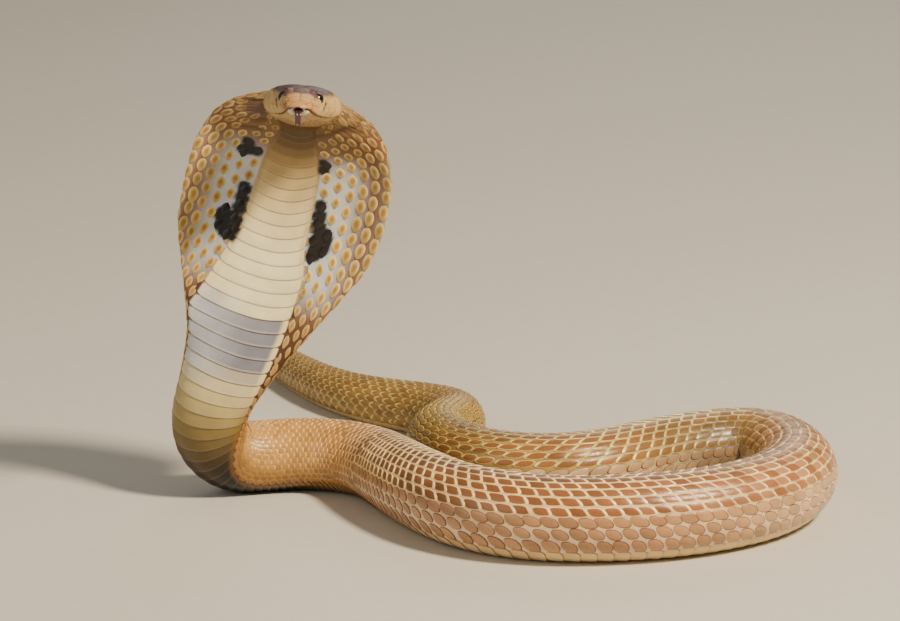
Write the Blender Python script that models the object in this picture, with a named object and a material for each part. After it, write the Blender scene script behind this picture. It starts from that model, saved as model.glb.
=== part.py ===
# A spectacled cobra, life size, lying on the floor with its neck raised and its hood spread.
# The world is in metres with +Z up. The head looks along -Y and the coils lie on z = 0.

import bpy
import bmesh
import numpy as np
from math import cos, pi, radians, sin
from mathutils import Matrix, Vector

CM = 0.01                   # the sizes below are in centimetres unless they say otherwise
GAP = 0.0003 / CM           # clearance between two nodes that touch
BELLY_FLAT = 0.06           # share of the half width by which the belly is pressed flat on the floor
ROUTE_STEP = 0.1            # spacing of the samples along the spine
ROUTE_SMOOTHING = 0.9       # length over which the spine is evened out

# The spine from the snout to the foot of the neck: x, y, z and the way the back faces
RAISED_SPINE = (
    (3.87, -6.90, 16.00, (0.07, -0.05, 1.0)),
    (3.90, -4.80, 15.71, (0.07, -0.02, 1.0)),
    (3.91, -2.90, 15.40, (0.12, 0.10, 1.0)),
    (3.87, -1.85, 14.90, (0.24, 0.45, 0.9)),
    (3.70, -1.15, 14.10, (0.15, 0.85, 0.5)),
    (3.48, -0.85, 12.95, (0.04, 1.0, 0.12)),
    (3.10, -0.75, 11.30, (0.0, 1.0, 0.05)),
    (2.42, -0.90, 8.90, (0.0, 1.0, 0.04)),
    (1.48, -1.15, 6.30, (0.0, 1.0, 0.06)),
    (0.52, -1.50, 4.20, (0.10, 1.0, 0.10)),
    (-0.02, -1.45, 2.70, (0.35, 0.9, 0.30)),
)
# The spine along the floor, from the foot of the neck to the tip of the tail: x and y
FLOOR_SPINE = (
    (0.70, -0.70),
    (2.60, 0.00),
    (4.50, 0.10),
    (6.30, -1.10),
    (7.80, -4.50),
    (9.70, -7.70),
    (12.2, -9.30),
    (15.2, -9.45),
    (18.4, -8.50),
    (21.2, -6.20),
    (22.4, -2.60),
    (21.2, 0.90),
    (17.8, 0.00),
    (14.4, -2.20),
    (11.4, -1.90),
    (9.40, 0.40),
    (8.80, 3.20),
    (9.70, 5.80),
    (9.00, 7.60),
    (7.20, 9.20),
    (5.90, 10.3),
    (4.90, 11.6),
    (3.85, 13.4),
    (2.75, 15.9),
    (1.50, 18.8),
    (0.40, 21.4),
    (0.00, 24.4),
    (0.90, 27.4),
    (1.50, 30.2),
    (0.90, 33.0),
)
FOOT = 21.0                 # length along the spine where it reaches the floor

# Half width of the body against the length along the spine from the snout
GIRTH = (
    (4.1, 1.36),
    (16.0, 1.42),
    (25.0, 1.42),
    (29.0, 1.52),
    (36.0, 1.60),
    (48.0, 1.60),
    (58.0, 1.48),
    (66.0, 1.38),
    (72.0, 1.25),
    (77.0, 1.04),
    (84.0, 0.82),
    (94.0, 0.58),
    (102.0, 0.30),
    (106.0, 0.10),
)
# Half thickness of the raised neck from back to front
NECK_DEPTH = (
    (4.1, 0.76),
    (10.0, 0.86),
    (15.0, 1.08),
    (20.0, 1.36),
)
# Half width of the spread hood
HOOD_SPREAD = (
    (4.1, 1.42),
    (4.6, 2.20),
    (5.1, 2.85),
    (5.9, 3.42),
    (7.3, 3.82),
    (8.9, 3.87),
    (10.3, 3.66),
    (11.5, 3.16),
    (12.9, 2.52),
    (14.3, 2.00),
    (15.6, 1.68),
    (17.1, 1.46),
    (19.0, 1.42),
)
# How much further the narrowing hood reaches on the snake's right
HOOD_RIGHT_EXTRA = (
    (9.4, 0.0),
    (10.4, 0.14),
    (11.5, 0.30),
    (13.0, 0.38),
    (14.2, 0.30),
    (15.2, 0.18),
    (17.0, 0.05),
    (19.0, 0.0),
)
COLUMN_HALF = 1.35          # half width of the throat's column in the spread hood
COLUMN_FRONT = 0.95         # how far the column stands out to the front
COLUMN_BACK = 0.55
MEMBRANE_HALF = 0.24        # half thickness of the hood's spread skin
HOOD_BOW = 0.95             # how far the hood's edges curl to the front
HOOD_BOW_RISE = 4.5         # length along the spine over which that curl comes in
HOOD_START = 4.1
HOOD_FULL = 6.5
HOOD_FADE = 12.1
HOOD_END = 18.6
BELLY_RATIO = 0.96          # half height of the belly side against the half width
BACK_RATIO = 1.0            # half height of the back side against the half width

# Belly plates: how far their hind edge stands out, how steep it drops, and their length on each stretch
PLATE_LIFT = 0.045
PLATE_EDGE = 0.05
PLATE_RAISED = 0.54
PLATE_FLOOR = 1.08
# Half width of the plates on the raised neck
PLATE_HALF = (
    (4.1, 0.50),
    (6.0, 0.75),
    (8.0, 1.00),
    (10.0, 1.30),
    (12.3, 1.85),
    (14.0, 1.72),
    (16.0, 1.40),
    (19.0, 1.15),
)
PLATE_SHARE = 0.80          # their half width against the body's, further back
PLATE_FADE = 0.25           # share of their half width over which they run out to the sides

# Head: length from the snout, half width, height above its axis, depth below it
HEAD_SHAPE = (
    (0.00, 0.10, 0.06, 0.06),
    (0.12, 0.36, 0.17, 0.22),
    (0.40, 0.50, 0.31, 0.34),
    (0.90, 0.64, 0.47, 0.42),
    (1.55, 0.84, 0.64, 0.52),
    (2.25, 1.14, 0.72, 0.60),
    (2.95, 1.38, 0.76, 0.68),
    (3.50, 1.46, 0.76, 0.73),
    (4.10, 1.42, 0.76, 0.76),
)
HEAD_END = 4.1
CROWN_SQUARE = 0.22             # how much squarer than an ellipse the crown's cross-section is
CROWN_FROM = 0.8                # length over which that comes in, and where it fades out again
CROWN_FADE = (2.9, 4.0)
EYE_AT = (1.50, 0.68, 0.36)     # length from the snout, sideways and up from the head's axis
EYE_RADIUS = 0.26
TONGUE_AT = 0.16                # length from the snout where the tongue leaves the mouth
TONGUE_SIZE = (0.24, 0.10, 0.72)    # width, thickness and length outside the mouth
TONGUE_HIGH = -0.06             # height of its root against the head's axis
TONGUE_SUNK = 0.5               # how far behind that it starts in the head
TONGUE_AHEAD = 0.22             # how far it reaches ahead of the lip
TONGUE_BEND = (0, 0, -0.07)     # where it turns down from there
TONGUE_TAPER = 0.18
NOSTRIL_AT = (0.42, 58)         # length from the snout and angle from the crown in degrees
NOSTRIL_RADIUS = 0.07

# The mouth: the angle of its line from the crown in degrees, its depth, half width in degrees and end
MOUTH_LINE = ((0.0, 98), (0.25, 107), (0.6, 117), (1.2, 125), (1.8, 128), (2.4, 127), (3.0, 112))
MOUTH_DEPTH = 0.06
MOUTH_HALF = 3.5
MOUTH_END = 3.05
OVERBITE = 0.10                 # how far the upper jaw reaches past the lower one

# Shields on the crown, as length from the snout and offset to the left; both sides have them
CROWN_SHIELDS = {
    "internasal": ((0.22, 0.02), (0.23, 0.30), (0.52, 0.42), (0.60, 0.02)),
    "prefrontal": ((0.63, 0.02), (0.55, 0.43), (0.96, 0.58), (1.12, 0.29), (1.14, 0.02)),
    "supraocular": (
        (1.13, 0.33), (1.02, 0.60), (1.32, 0.70), (1.72, 0.74), (1.88, 0.60), (1.78, 0.26)),
    "parietal": (
        (2.02, 0.02), (1.82, 0.27), (1.92, 0.62), (2.32, 0.76), (2.74, 0.62), (3.00, 0.22), (2.98, 0.02)),
    "temporal": ((1.96, 0.67), (1.98, 0.98), (2.50, 1.10), (2.66, 0.90), (2.34, 0.81)),
}
FRONTAL_SHIELD = ((1.17, 0.27), (1.74, 0.22), (1.98, 0.0))    # its left half, mirrored to the right
# The shield on the snout's tip, as lengths and angles from the crown in degrees
ROSTRAL_SHIELD = (
    (0.03, -70), (0.18, -70), (0.19, -35), (0.20, 0), (0.19, 35), (0.18, 70), (0.03, 70), (0.03, 0))
LIP_SHIELDS = (0.15, 0.42, 0.74, 1.12, 1.56, 2.02, 2.50, 2.95)
LIP_LOW = 6                     # degrees from the mouth line up to a lip shield's lower edge
LIP_HIGH = 32                   # degrees up to its upper edge
SHIELD_RISE = 0.035             # how far a shield stands out from the head
SHIELD_ROOT = 0.10              # how deep its root is sunk in the head
SHIELD_SEAM = 0.03              # how far its edge is drawn in from its outline
SHIELD_PIECE = 0.4              # longest piece of its outline


def even_curve(points, step, smoothing):
    # A smooth curve through the points, resampled at an even step
    points = np.array(points, float)
    ends = np.vstack([2 * points[0] - points[1], points, 2 * points[-1] - points[-2]])
    dense = []
    for i in range(1, len(ends) - 2):
        a, b, c, d = ends[i - 1:i + 3]
        for t in np.linspace(0, 1, 40, endpoint=False):
            pull = (c - a) * t + (2 * a - 5 * b + 4 * c - d) * t ** 2 + (3 * b - a - 3 * c + d) * t ** 3
            dense.append(b + 0.5 * pull)
    dense.append(points[-1])
    dense = resample(np.array(dense), step)
    reach = int(smoothing / step)
    for _ in range(3):
        padded = np.vstack([dense[:1]] * reach + [dense] + [dense[-1:]] * reach)
        total = np.cumsum(np.vstack([np.zeros((1, dense.shape[1])), padded]), axis=0)
        mean = (total[2 * reach + 1:] - total[:-2 * reach - 1]) / (2 * reach + 1)
        hold = np.minimum(np.arange(len(dense)), np.arange(len(dense))[::-1]) / reach
        hold = np.clip(hold, 0, 1)[:, None]
        dense = dense * (1 - hold) + mean * hold
    return resample(dense, step)


def resample(curve, step):
    lengths = np.concatenate([[0], np.cumsum(np.linalg.norm(np.diff(curve[:, :3], axis=0), axis=1))])
    count = int(round(lengths[-1] / step)) + 1
    at = np.linspace(0, lengths[-1], count)
    return np.stack([np.interp(at, lengths, column) for column in curve.T], axis=1)


def unit(vectors):
    return vectors / np.linalg.norm(vectors, axis=-1, keepdims=True)


def ease(value):
    value = np.clip(value, 0, 1)
    return value * value * (3 - 2 * value)


def profile(table, at):
    # A smooth curve through the table's rows, without overshoot
    x, y = np.array(table, float).T
    slopes = np.diff(y) / np.diff(x)
    lean = np.zeros(len(x))
    lean[0], lean[-1] = slopes[0], slopes[-1]
    same = slopes[:-1] * slopes[1:] > 0
    lean[1:-1][same] = 2 / (1 / slopes[:-1][same] + 1 / slopes[1:][same])
    at = np.clip(at, x[0], x[-1])
    i = np.clip(np.searchsorted(x, at) - 1, 0, len(x) - 2)
    h = x[i + 1] - x[i]
    t = (at - x[i]) / h
    rise = y[i] * (1 + 2 * t) * (1 - t) ** 2 + y[i + 1] * t * t * (3 - 2 * t)
    return rise + h * (lean[i] * t * (1 - t) ** 2 + lean[i + 1] * t * t * (t - 1))


class Spine:
    def __init__(self):
        rows = [(x, y, z, *back) for x, y, z, back in RAISED_SPINE]
        steps = [np.hypot(*np.subtract(b, a)) for a, b in zip(FLOOR_SPINE, FLOOR_SPINE[1:])]
        reach = np.cumsum([0.0] + steps)
        for (x, y), length in zip(FLOOR_SPINE, reach):
            half = profile(GIRTH, FOOT + length)
            rows.append((x, y, half * (BELLY_RATIO - BELLY_FLAT), 0, 0, 1))
        curve = even_curve(rows, ROUTE_STEP, ROUTE_SMOOTHING)
        self.points = curve[:, :3]
        self.length = (len(curve) - 1) * ROUTE_STEP
        self.tailward = unit(np.gradient(self.points, axis=0))
        back = curve[:, 3:6]
        back = back - self.tailward * np.sum(back * self.tailward, axis=1, keepdims=True)
        self.back = unit(back)
        self.left = np.cross(self.tailward, self.back)

    def frame(self, length):
        at = np.clip(np.asarray(length, float), 0, self.length) / ROUTE_STEP
        index = np.arange(len(self.points))
        def pick(rows):
            return np.stack([np.interp(at, index, column) for column in rows.T], axis=-1)
        return pick(self.points), unit(pick(self.left)), unit(pick(self.back))


def hood_share(length):
    # 0 on the round body and 1 where the hood is fully spread
    come = ease((length - HOOD_START) / (HOOD_FULL - HOOD_START))
    return come * (1 - ease((length - HOOD_FADE) / (HOOD_END - HOOD_FADE)))


def body_section(length, angle):
    # Sideways and backward offset of the skin; the angle is 0 at the back and grows to the snake's left
    girth = profile(GIRTH, length)
    raised = length < NECK_DEPTH[-1][0]
    spread = np.where(length < HOOD_SPREAD[-1][0], profile(HOOD_SPREAD, length), girth)
    share = hood_share(length)
    face = np.cos(angle)
    front = face < 0
    round_body = girth * np.where(front, BELLY_RATIO, BACK_RATIO)
    full = np.where(raised, profile(NECK_DEPTH, length), round_body)
    column = np.where(front, COLUMN_FRONT, COLUMN_BACK)
    height = full * (1 - share) + column * share
    thin = full * (1 - share) + MEMBRANE_HALF * share
    spread = spread + np.where(np.sin(angle) < 0, profile(HOOD_RIGHT_EXTRA, length), 0)
    side = spread * np.sin(angle)
    bump = ease(1.45 - 0.62 * np.abs(side) / COLUMN_HALF) * share + (1 - share)
    rise = thin * np.abs(face) ** (1 - 0.5 * share) + (height - thin) * bump * np.abs(face)
    bow = HOOD_BOW * share * ease((length - HOOD_START + 0.5) / HOOD_BOW_RISE)
    return side, np.sign(face) * rise - bow * np.sin(angle) ** 2


def crown_power(length):
    fade = (length - CROWN_FADE[0]) / (CROWN_FADE[1] - CROWN_FADE[0])
    return 1 - CROWN_SQUARE * ease(length / CROWN_FROM) * (1 - ease(fade))


def crown_turn(length, angle):
    # Sine and cosine of the angle, drawn out to a squarer form over the crown
    power = np.where(np.cos(angle) > 0, crown_power(length), 1)
    turned = (np.sin(angle), np.cos(angle))
    return tuple(np.sign(part) * np.abs(part) ** power for part in turned)


def head_section(length, angle):
    table = np.array(HEAD_SHAPE)
    width, above, below = (profile(table[:, (0, i)], length) for i in (1, 2, 3))
    side, face = crown_turn(length, angle)
    away = np.abs(np.degrees(np.abs(angle)) - profile(MOUTH_LINE, length)) / MOUTH_HALF
    groove = MOUTH_DEPTH * ease(1 - away) * ease(length / 0.15) * ease((MOUTH_END - length) / 0.12)
    inward = 1 - groove / np.maximum(width, 0.1)
    return width * side * inward, np.where(face > 0, above, below) * face * inward


def plate_mask(length, angle, side):
    # 1 on the belly plates and 0 on the flanks and the back
    raised = length < PLATE_HALF[-1][0]
    half = np.where(raised, profile(PLATE_HALF, length), PLATE_SHARE * profile(GIRTH, length))
    return ease((half - np.abs(side)) / (PLATE_FADE * half)) * (np.cos(angle) < 0)


def skin_points(spine, lengths, angles, lifts=0):
    # Points on the skin; lifts tells for each length how far the belly plate stands out there
    lengths = np.broadcast_to(np.reshape(lengths, (-1, 1)), (len(lengths), angles.shape[-1]))
    angles = np.broadcast_to(angles, lengths.shape)
    centre, left, back = spine.frame(lengths)
    head = np.stack(head_section(lengths, angles))
    body = np.stack(body_section(lengths, angles))
    on_the_head = lengths <= HEAD_END
    side, depth = np.where(on_the_head, head, body)
    depth = depth - np.reshape(lifts, (-1, 1)) * plate_mask(lengths, angles, side)
    points = centre + left * side[..., None] + back * depth[..., None]
    jaw = ease((np.degrees(np.abs(angles)) - profile(MOUTH_LINE, lengths)) / MOUTH_HALF)
    points += np.cross(back, left) * (OVERBITE * jaw * np.exp(-lengths / 0.5) * on_the_head)[..., None]
    points[..., 2] = np.maximum(points[..., 2], 0)
    return points


def round_angles(sides):
    return np.arange(sides) / sides * 2 * pi - pi


def hood_angles(sides):
    # More of the ring's points lie on the throat, where the plates are
    behind = sides // 3
    back = np.linspace(-pi / 2, pi / 2, behind)
    turn = np.linspace(-1, 1, sides - behind + 2)[1:-1]
    return np.concatenate([back, pi + turn * (0.5 + 0.5 * turn ** 2) * pi / 2])


def head_angles(length):
    # The ring has a point on each lip and one in the line of the mouth
    line = np.radians(profile(MOUTH_LINE, length))
    lip = radians(MOUTH_HALF)
    upper = np.linspace(0, line - lip, 11)
    lower = np.linspace(line + lip, pi, 6)
    half = np.concatenate([upper, [line], lower])
    return np.concatenate([half, -half[-2:0:-1]])


def on_head(spine, length, side, up):
    # A point in the head, from its length behind the snout and its offset from the head's axis
    centre, left, back = (Vector(v) for v in spine.frame(length))
    return centre + left * side + back * up


def closed_loft(name, rings, material, tops=None):
    # One closed body from rings of points, capped at both ends by a fan
    tops = tops or (np.mean(rings[0], axis=0), np.mean(rings[-1], axis=0))
    mesh = bpy.data.meshes.new(name)
    builder = bmesh.new()
    rows = [[builder.verts.new(Vector(point) * CM) for point in ring] for ring in rings]
    for one, two in zip(rows, rows[1:]):
        for i in range(len(one)):
            j = (i + 1) % len(one)
            builder.faces.new((one[i], one[j], two[j], two[i]))
    for ring, top in zip((rows[0], rows[-1]), tops):
        middle = builder.verts.new(Vector(top) * CM)
        for i in range(len(ring)):
            builder.faces.new((ring[i], ring[(i + 1) % len(ring)], middle))
    bmesh.ops.triangulate(builder, faces=builder.faces)
    bmesh.ops.recalc_face_normals(builder, faces=builder.faces)
    builder.to_mesh(mesh)
    builder.free()
    mesh.shade_smooth()
    mesh.set_sharp_from_angle(angle=radians(50))
    mesh.materials.append(material)
    made = bpy.data.objects.new(name, mesh)
    bpy.context.scene.collection.objects.link(made)
    return made


def paint(name, colour, roughness):
    material = bpy.data.materials.new(name)
    material.use_nodes = True
    shader = material.node_tree.nodes["Principled BSDF"]
    shader.inputs["Base Color"].default_value = (*colour, 1)
    shader.inputs["Roughness"].default_value = roughness
    shader.inputs["Metallic"].default_value = 0
    return material


def carve(body, cutter):
    # Takes the cutter's shape out of the body and leaves the body as one closed surface
    cut = body.modifiers.new("cut", "BOOLEAN")
    cut.operation = "DIFFERENCE"
    cut.object = cutter
    graph = bpy.context.evaluated_depsgraph_get()
    result = bpy.data.meshes.new_from_object(body.evaluated_get(graph))
    body.modifiers.clear()
    body.data = result
    bpy.data.objects.remove(cutter, do_unlink=True)


def ball(name, centre, radius, material, rows=10, columns=16):
    # A sphere of even bands
    lengths = np.linspace(0, pi, rows + 1)[1:-1]
    turns = np.arange(columns) / columns * 2 * pi
    rings = []
    for v in lengths:
        rings.append([Vector((cos(t) * sin(v), sin(t) * sin(v), cos(v))) * radius + centre for t in turns])
    return closed_loft(name, rings, material)


def surface(spine, length, angle, rise):
    # A point at a height over the skin of the head, and the way is out from the skin
    near = 0.01
    at = skin_points(spine, [length, length + near], np.array([angle, angle + near]))
    out = np.cross(at[0, 1] - at[0, 0], at[1, 0] - at[0, 0])
    return at[0, 0] + unit(out) * rise


def shield(spine, outline, material):
    # A closed plate over the outline, given as lengths and angles, with its root sunk in the skin
    corners = []
    for one, two in zip(outline, outline[1:] + outline[:1]):
        pieces = 1 + int(np.hypot(*np.subtract(two, one)) / SHIELD_PIECE)
        corners += [np.add(one, np.subtract(two, one) * i / pieces) for i in range(pieces)]
    corners = np.array(corners)
    middle = corners.mean(axis=0)
    reach = np.max(np.hypot(*(corners - middle).T))
    rings = []
    steps = ((SHIELD_SEAM, -SHIELD_ROOT), (SHIELD_SEAM, SHIELD_RISE / 2), (2 * SHIELD_SEAM, SHIELD_RISE))
    for shrink, rise in steps:
        drawn = middle + (corners - middle) * (1 - shrink / reach)
        rings.append([surface(spine, length, angle, rise) for length, angle in drawn])
    tops = (surface(spine, *middle, -SHIELD_ROOT), surface(spine, *middle, SHIELD_RISE))
    return closed_loft("shield", rings, material, tops)


def crown_outline(points, way):
    # Lengths and angles of points given by length and offset from the mid line
    table = np.array(HEAD_SHAPE)[:, :2]
    outline = []
    for length, side in points:
        share = min(side / float(profile(table, length)), 0.98)
        outline.append((length, way * np.arcsin(share ** (1 / crown_power(length)))))
    return outline


def head_shields(spine, material):
    outlines = [[(at, radians(turn)) for at, turn in ROSTRAL_SHIELD]]
    half_frontal = crown_outline(FRONTAL_SHIELD, 1)
    outlines.append(half_frontal + [(at, -turn) for at, turn in half_frontal[::-1] if turn > 0])
    for way in (1, -1):
        outlines += [crown_outline(points, way) for points in CROWN_SHIELDS.values()]
        for start, end in zip(LIP_SHIELDS, LIP_SHIELDS[1:]):
            corners = ((start, LIP_LOW), (end, LIP_LOW), (end, LIP_HIGH), (start, LIP_HIGH))
            line = [(at, radians(profile(MOUTH_LINE, at) - up)) for at, up in corners]
            outlines.append([(at, way * turn) for at, turn in line])
    return [shield(spine, outline, material) for outline in outlines]


def join(body, pieces):
    # Fuses the pieces to the body and keeps the one closed surface that is largest
    group = bpy.data.collections.new("pieces")
    for piece in pieces:
        group.objects.link(piece)
    fuse = body.modifiers.new("fuse", "BOOLEAN")
    fuse.operation = "UNION"
    fuse.operand_type = "COLLECTION"
    fuse.collection = group
    graph = bpy.context.evaluated_depsgraph_get()
    body.data = bpy.data.meshes.new_from_object(body.evaluated_get(graph))
    body.modifiers.clear()
    for piece in pieces:
        bpy.data.objects.remove(piece, do_unlink=True)
    bpy.data.collections.remove(group)
    keep_largest(body)


def keep_largest(body):
    builder = bmesh.new()
    builder.from_mesh(body.data)
    left = set(builder.verts)
    shells = []
    while left:
        shell, edge = set(), [left.pop()]
        while edge:
            vertex = edge.pop()
            shell.add(vertex)
            near = {link.other_vert(vertex) for link in vertex.link_edges} & left
            left -= near
            edge += near
        shells.append(shell)
    shells.sort(key=len)
    bmesh.ops.delete(builder, geom=[vertex for shell in shells[:-1] for vertex in shell], context="VERTS")
    builder.to_mesh(body.data)
    builder.free()


def make_nostrils(spine, head, materials):
    length, turn = NOSTRIL_AT
    for way in (1, -1):
        centre = Vector(surface(spine, length, radians(turn) * way, 0))
        carve(head, ball("nostril", centre, NOSTRIL_RADIUS, materials["head"], 6, 10))


def make_eyes(spine, head, materials):
    length, side, up = EYE_AT
    for name, way in (("eye_left", 1), ("eye_right", -1)):
        centre = on_head(spine, length, side * way, up)
        carve(head, ball("socket", centre, EYE_RADIUS + GAP, materials["head"]))
        ball(name, centre, EYE_RADIUS, materials["eye"])


TONGUE_RIM = tuple((cos(t), sin(t)) for t in np.arange(10) / 10 * 2 * pi)


def strip(name, spine, width, thick, out, sunk, material):
    # A flat strip that comes out of the mouth and hangs over the lower lip
    root = on_head(spine, TONGUE_AT, 0, TONGUE_HIGH)
    behind = on_head(spine, TONGUE_AT + sunk, 0, TONGUE_HIGH)
    left = Vector(spine.frame(TONGUE_AT)[1])
    ahead = (root - behind).normalized()
    over = root + ahead * TONGUE_AHEAD
    stations = [behind, root, over + Vector(TONGUE_BEND), over + Vector((0, TONGUE_BEND[2], -out))]
    rings = []
    last = len(stations) - 1
    for i, centre in enumerate(stations):
        run = (stations[min(i + 1, last)] - stations[max(i - 1, 0)]).normalized()
        face = run.cross(left).normalized()
        wide = width * (1 - TONGUE_TAPER * i / last)
        rings.append([centre + left * x * wide / 2 + face * y * thick / 2 for x, y in TONGUE_RIM])
    return closed_loft(name, rings, material)


def make_tongue(spine, head, materials):
    width, thick, out = TONGUE_SIZE
    slot = strip("slot", spine, width + 2 * GAP, thick + 2 * GAP, out, TONGUE_SUNK, materials["head"])
    carve(head, slot)
    strip("tongue", spine, width, thick, out, TONGUE_SUNK - GAP, materials["tongue"])


def make_head(spine, materials):
    lengths = np.concatenate([[0.0, 0.04, 0.10, 0.20], np.linspace(0.36, HEAD_END - GAP / 2, 17)])
    rings = [skin_points(spine, [length], head_angles(length))[0] for length in lengths]
    head = closed_loft("head", rings, materials["head"])
    join(head, head_shields(spine, materials["head"]))
    make_nostrils(spine, head, materials)
    make_eyes(spine, head, materials)
    make_tongue(spine, head, materials)


# The nodes of the body: where each ends along the spine, the length of its plates and the sides of its rings
LENGTHS = (
    ("hood", 17.4, PLATE_RAISED, 36),
    ("neck", 24.6, PLATE_RAISED, 24),
    ("body_1", 31.0, PLATE_FLOOR, 20),
    ("body_2", 40.0, PLATE_FLOOR, 20),
    ("body_3", 48.0, PLATE_FLOOR, 20),
    ("body_4", 54.5, PLATE_FLOOR, 20),
    ("body_5", 63.5, PLATE_FLOOR, 20),
    ("body_6", 70.0, PLATE_FLOOR, 20),
    ("body_7", 76.0, PLATE_FLOOR, 20),
    ("tail_1", 86.0, PLATE_FLOOR, 20),
    ("tail_2", 96.0, PLATE_FLOOR, 20),
    ("tail_tip", 200.0, PLATE_FLOOR, 20),
)


def plate_stations(start, end, size):
    # Each plate rises from its front edge to its hind edge and then drops to the next one
    count = max(1, int(round((end - start) / size)))
    edges = np.linspace(start, end, count + 1)
    lengths = np.stack([edges[:-1], edges[1:] - PLATE_EDGE], axis=1).ravel()
    lifts = np.tile([0.0, 1.0], count)
    lengths[-1] = end
    return lengths, lifts


def make_lengths(spine, materials):
    start = HEAD_END
    for name, end, size, sides in LENGTHS:
        end = min(end, spine.length)
        lengths, lifts = plate_stations(start + GAP / 2, end - GAP / 2, size)
        thin = np.minimum(1, profile(GIRTH, lengths) / 1.2)
        angles = hood_angles(sides) if name == "hood" else round_angles(sides)
        rings = skin_points(spine, lengths, angles, lifts * PLATE_LIFT * thin)
        closed_loft(name, rings, materials["body"])
        start = end


def stand_on_origin():
    # Moves the whole animal so that the middle of its footprint is the origin
    solids = [thing for thing in bpy.data.objects if thing.type == "MESH"]
    corners = np.array([vertex.co for solid in solids for vertex in solid.data.vertices])
    low, high = corners.min(axis=0), corners.max(axis=0)
    shift = Matrix.Translation((-(low[0] + high[0]) / 2, -(low[1] + high[1]) / 2, -low[2]))
    for solid in solids:
        solid.data.transform(shift)


def main():
    for thing in list(bpy.data.objects):
        bpy.data.objects.remove(thing, do_unlink=True)
    materials = {
        "head": paint("head_skin", (0.42, 0.28, 0.17), 0.4),
        "body": paint("scaled_skin", (0.36, 0.22, 0.11), 0.42),
        "eye": paint("eye_gloss", (0.02, 0.015, 0.012), 0.08),
        "tongue": paint("tongue_skin", (0.09, 0.02, 0.03), 0.35),
    }
    spine = Spine()
    make_head(spine, materials)
    make_lengths(spine, materials)
    stand_on_origin()


main()
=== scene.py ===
from math import pi, radians
import bpy
import numpy as np
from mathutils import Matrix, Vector


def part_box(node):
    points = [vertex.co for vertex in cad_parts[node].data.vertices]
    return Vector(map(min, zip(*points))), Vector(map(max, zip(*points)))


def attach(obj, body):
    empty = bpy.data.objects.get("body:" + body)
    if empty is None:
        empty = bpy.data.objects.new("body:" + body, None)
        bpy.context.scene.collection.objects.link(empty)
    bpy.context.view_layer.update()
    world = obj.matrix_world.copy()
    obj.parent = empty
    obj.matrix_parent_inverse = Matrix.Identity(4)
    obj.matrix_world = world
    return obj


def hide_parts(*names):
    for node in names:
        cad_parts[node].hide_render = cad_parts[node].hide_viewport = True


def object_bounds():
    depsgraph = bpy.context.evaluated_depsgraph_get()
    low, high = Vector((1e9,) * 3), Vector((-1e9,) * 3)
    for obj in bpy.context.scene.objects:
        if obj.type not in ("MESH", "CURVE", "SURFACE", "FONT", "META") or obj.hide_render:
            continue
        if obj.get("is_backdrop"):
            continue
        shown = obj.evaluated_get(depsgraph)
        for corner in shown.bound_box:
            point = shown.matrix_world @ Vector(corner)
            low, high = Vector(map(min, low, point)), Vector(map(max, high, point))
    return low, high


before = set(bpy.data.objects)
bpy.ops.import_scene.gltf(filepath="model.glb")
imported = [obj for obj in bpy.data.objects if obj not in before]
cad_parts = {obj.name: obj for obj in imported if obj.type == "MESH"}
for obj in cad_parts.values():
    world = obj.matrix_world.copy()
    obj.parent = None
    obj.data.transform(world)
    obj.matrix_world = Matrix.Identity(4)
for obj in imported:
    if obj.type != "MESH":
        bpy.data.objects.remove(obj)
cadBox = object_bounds()
dice = np.random.default_rng(17)
cm = 0.01    # all is in centimetres along and across the animal until it is placed

# the line of the spine, from the snout over the raised neck to the tip of the tail
route = {
    "raised": (    # x, y, z and the way the back faces
        (3.87, -6.9, 16.0, 0.07, -0.05, 1.0), (3.9, -4.8, 15.71, 0.07, -0.02, 1.0),
        (3.91, -2.9, 15.4, 0.12, 0.1, 1.0), (3.87, -1.85, 14.9, 0.24, 0.45, 0.9),
        (3.7, -1.15, 14.1, 0.15, 0.85, 0.5), (3.48, -0.85, 12.95, 0.04, 1.0, 0.12),
        (3.1, -0.75, 11.3, 0.0, 1.0, 0.05), (2.42, -0.9, 8.9, 0.0, 1.0, 0.04),
        (1.48, -1.15, 6.3, 0.0, 1.0, 0.06), (0.52, -1.5, 4.2, 0.1, 1.0, 0.1),
        (-0.02, -1.45, 2.7, 0.35, 0.9, 0.3)),
    "floor": (    # x and y
        (0.7, -0.7), (2.6, 0.0), (4.5, 0.1), (6.3, -1.1), (7.8, -4.5), (9.7, -7.7),
        (12.2, -9.3), (15.2, -9.45), (18.4, -8.5), (21.2, -6.2), (22.4, -2.6), (21.2, 0.9),
        (17.8, 0.0), (14.4, -2.2), (11.4, -1.9), (9.4, 0.4), (8.8, 3.2), (9.7, 5.8),
        (9.0, 7.6), (7.2, 9.2), (5.9, 10.3), (4.9, 11.6), (3.85, 13.4), (2.75, 15.9),
        (1.5, 18.8), (0.4, 21.4), (0.0, 24.4), (0.9, 27.4), (1.5, 30.2), (0.9, 33.0)),
    "foot": 21.0, "step": 0.1, "smoothing": 0.9, "bellyFlat": 0.06,
}

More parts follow.
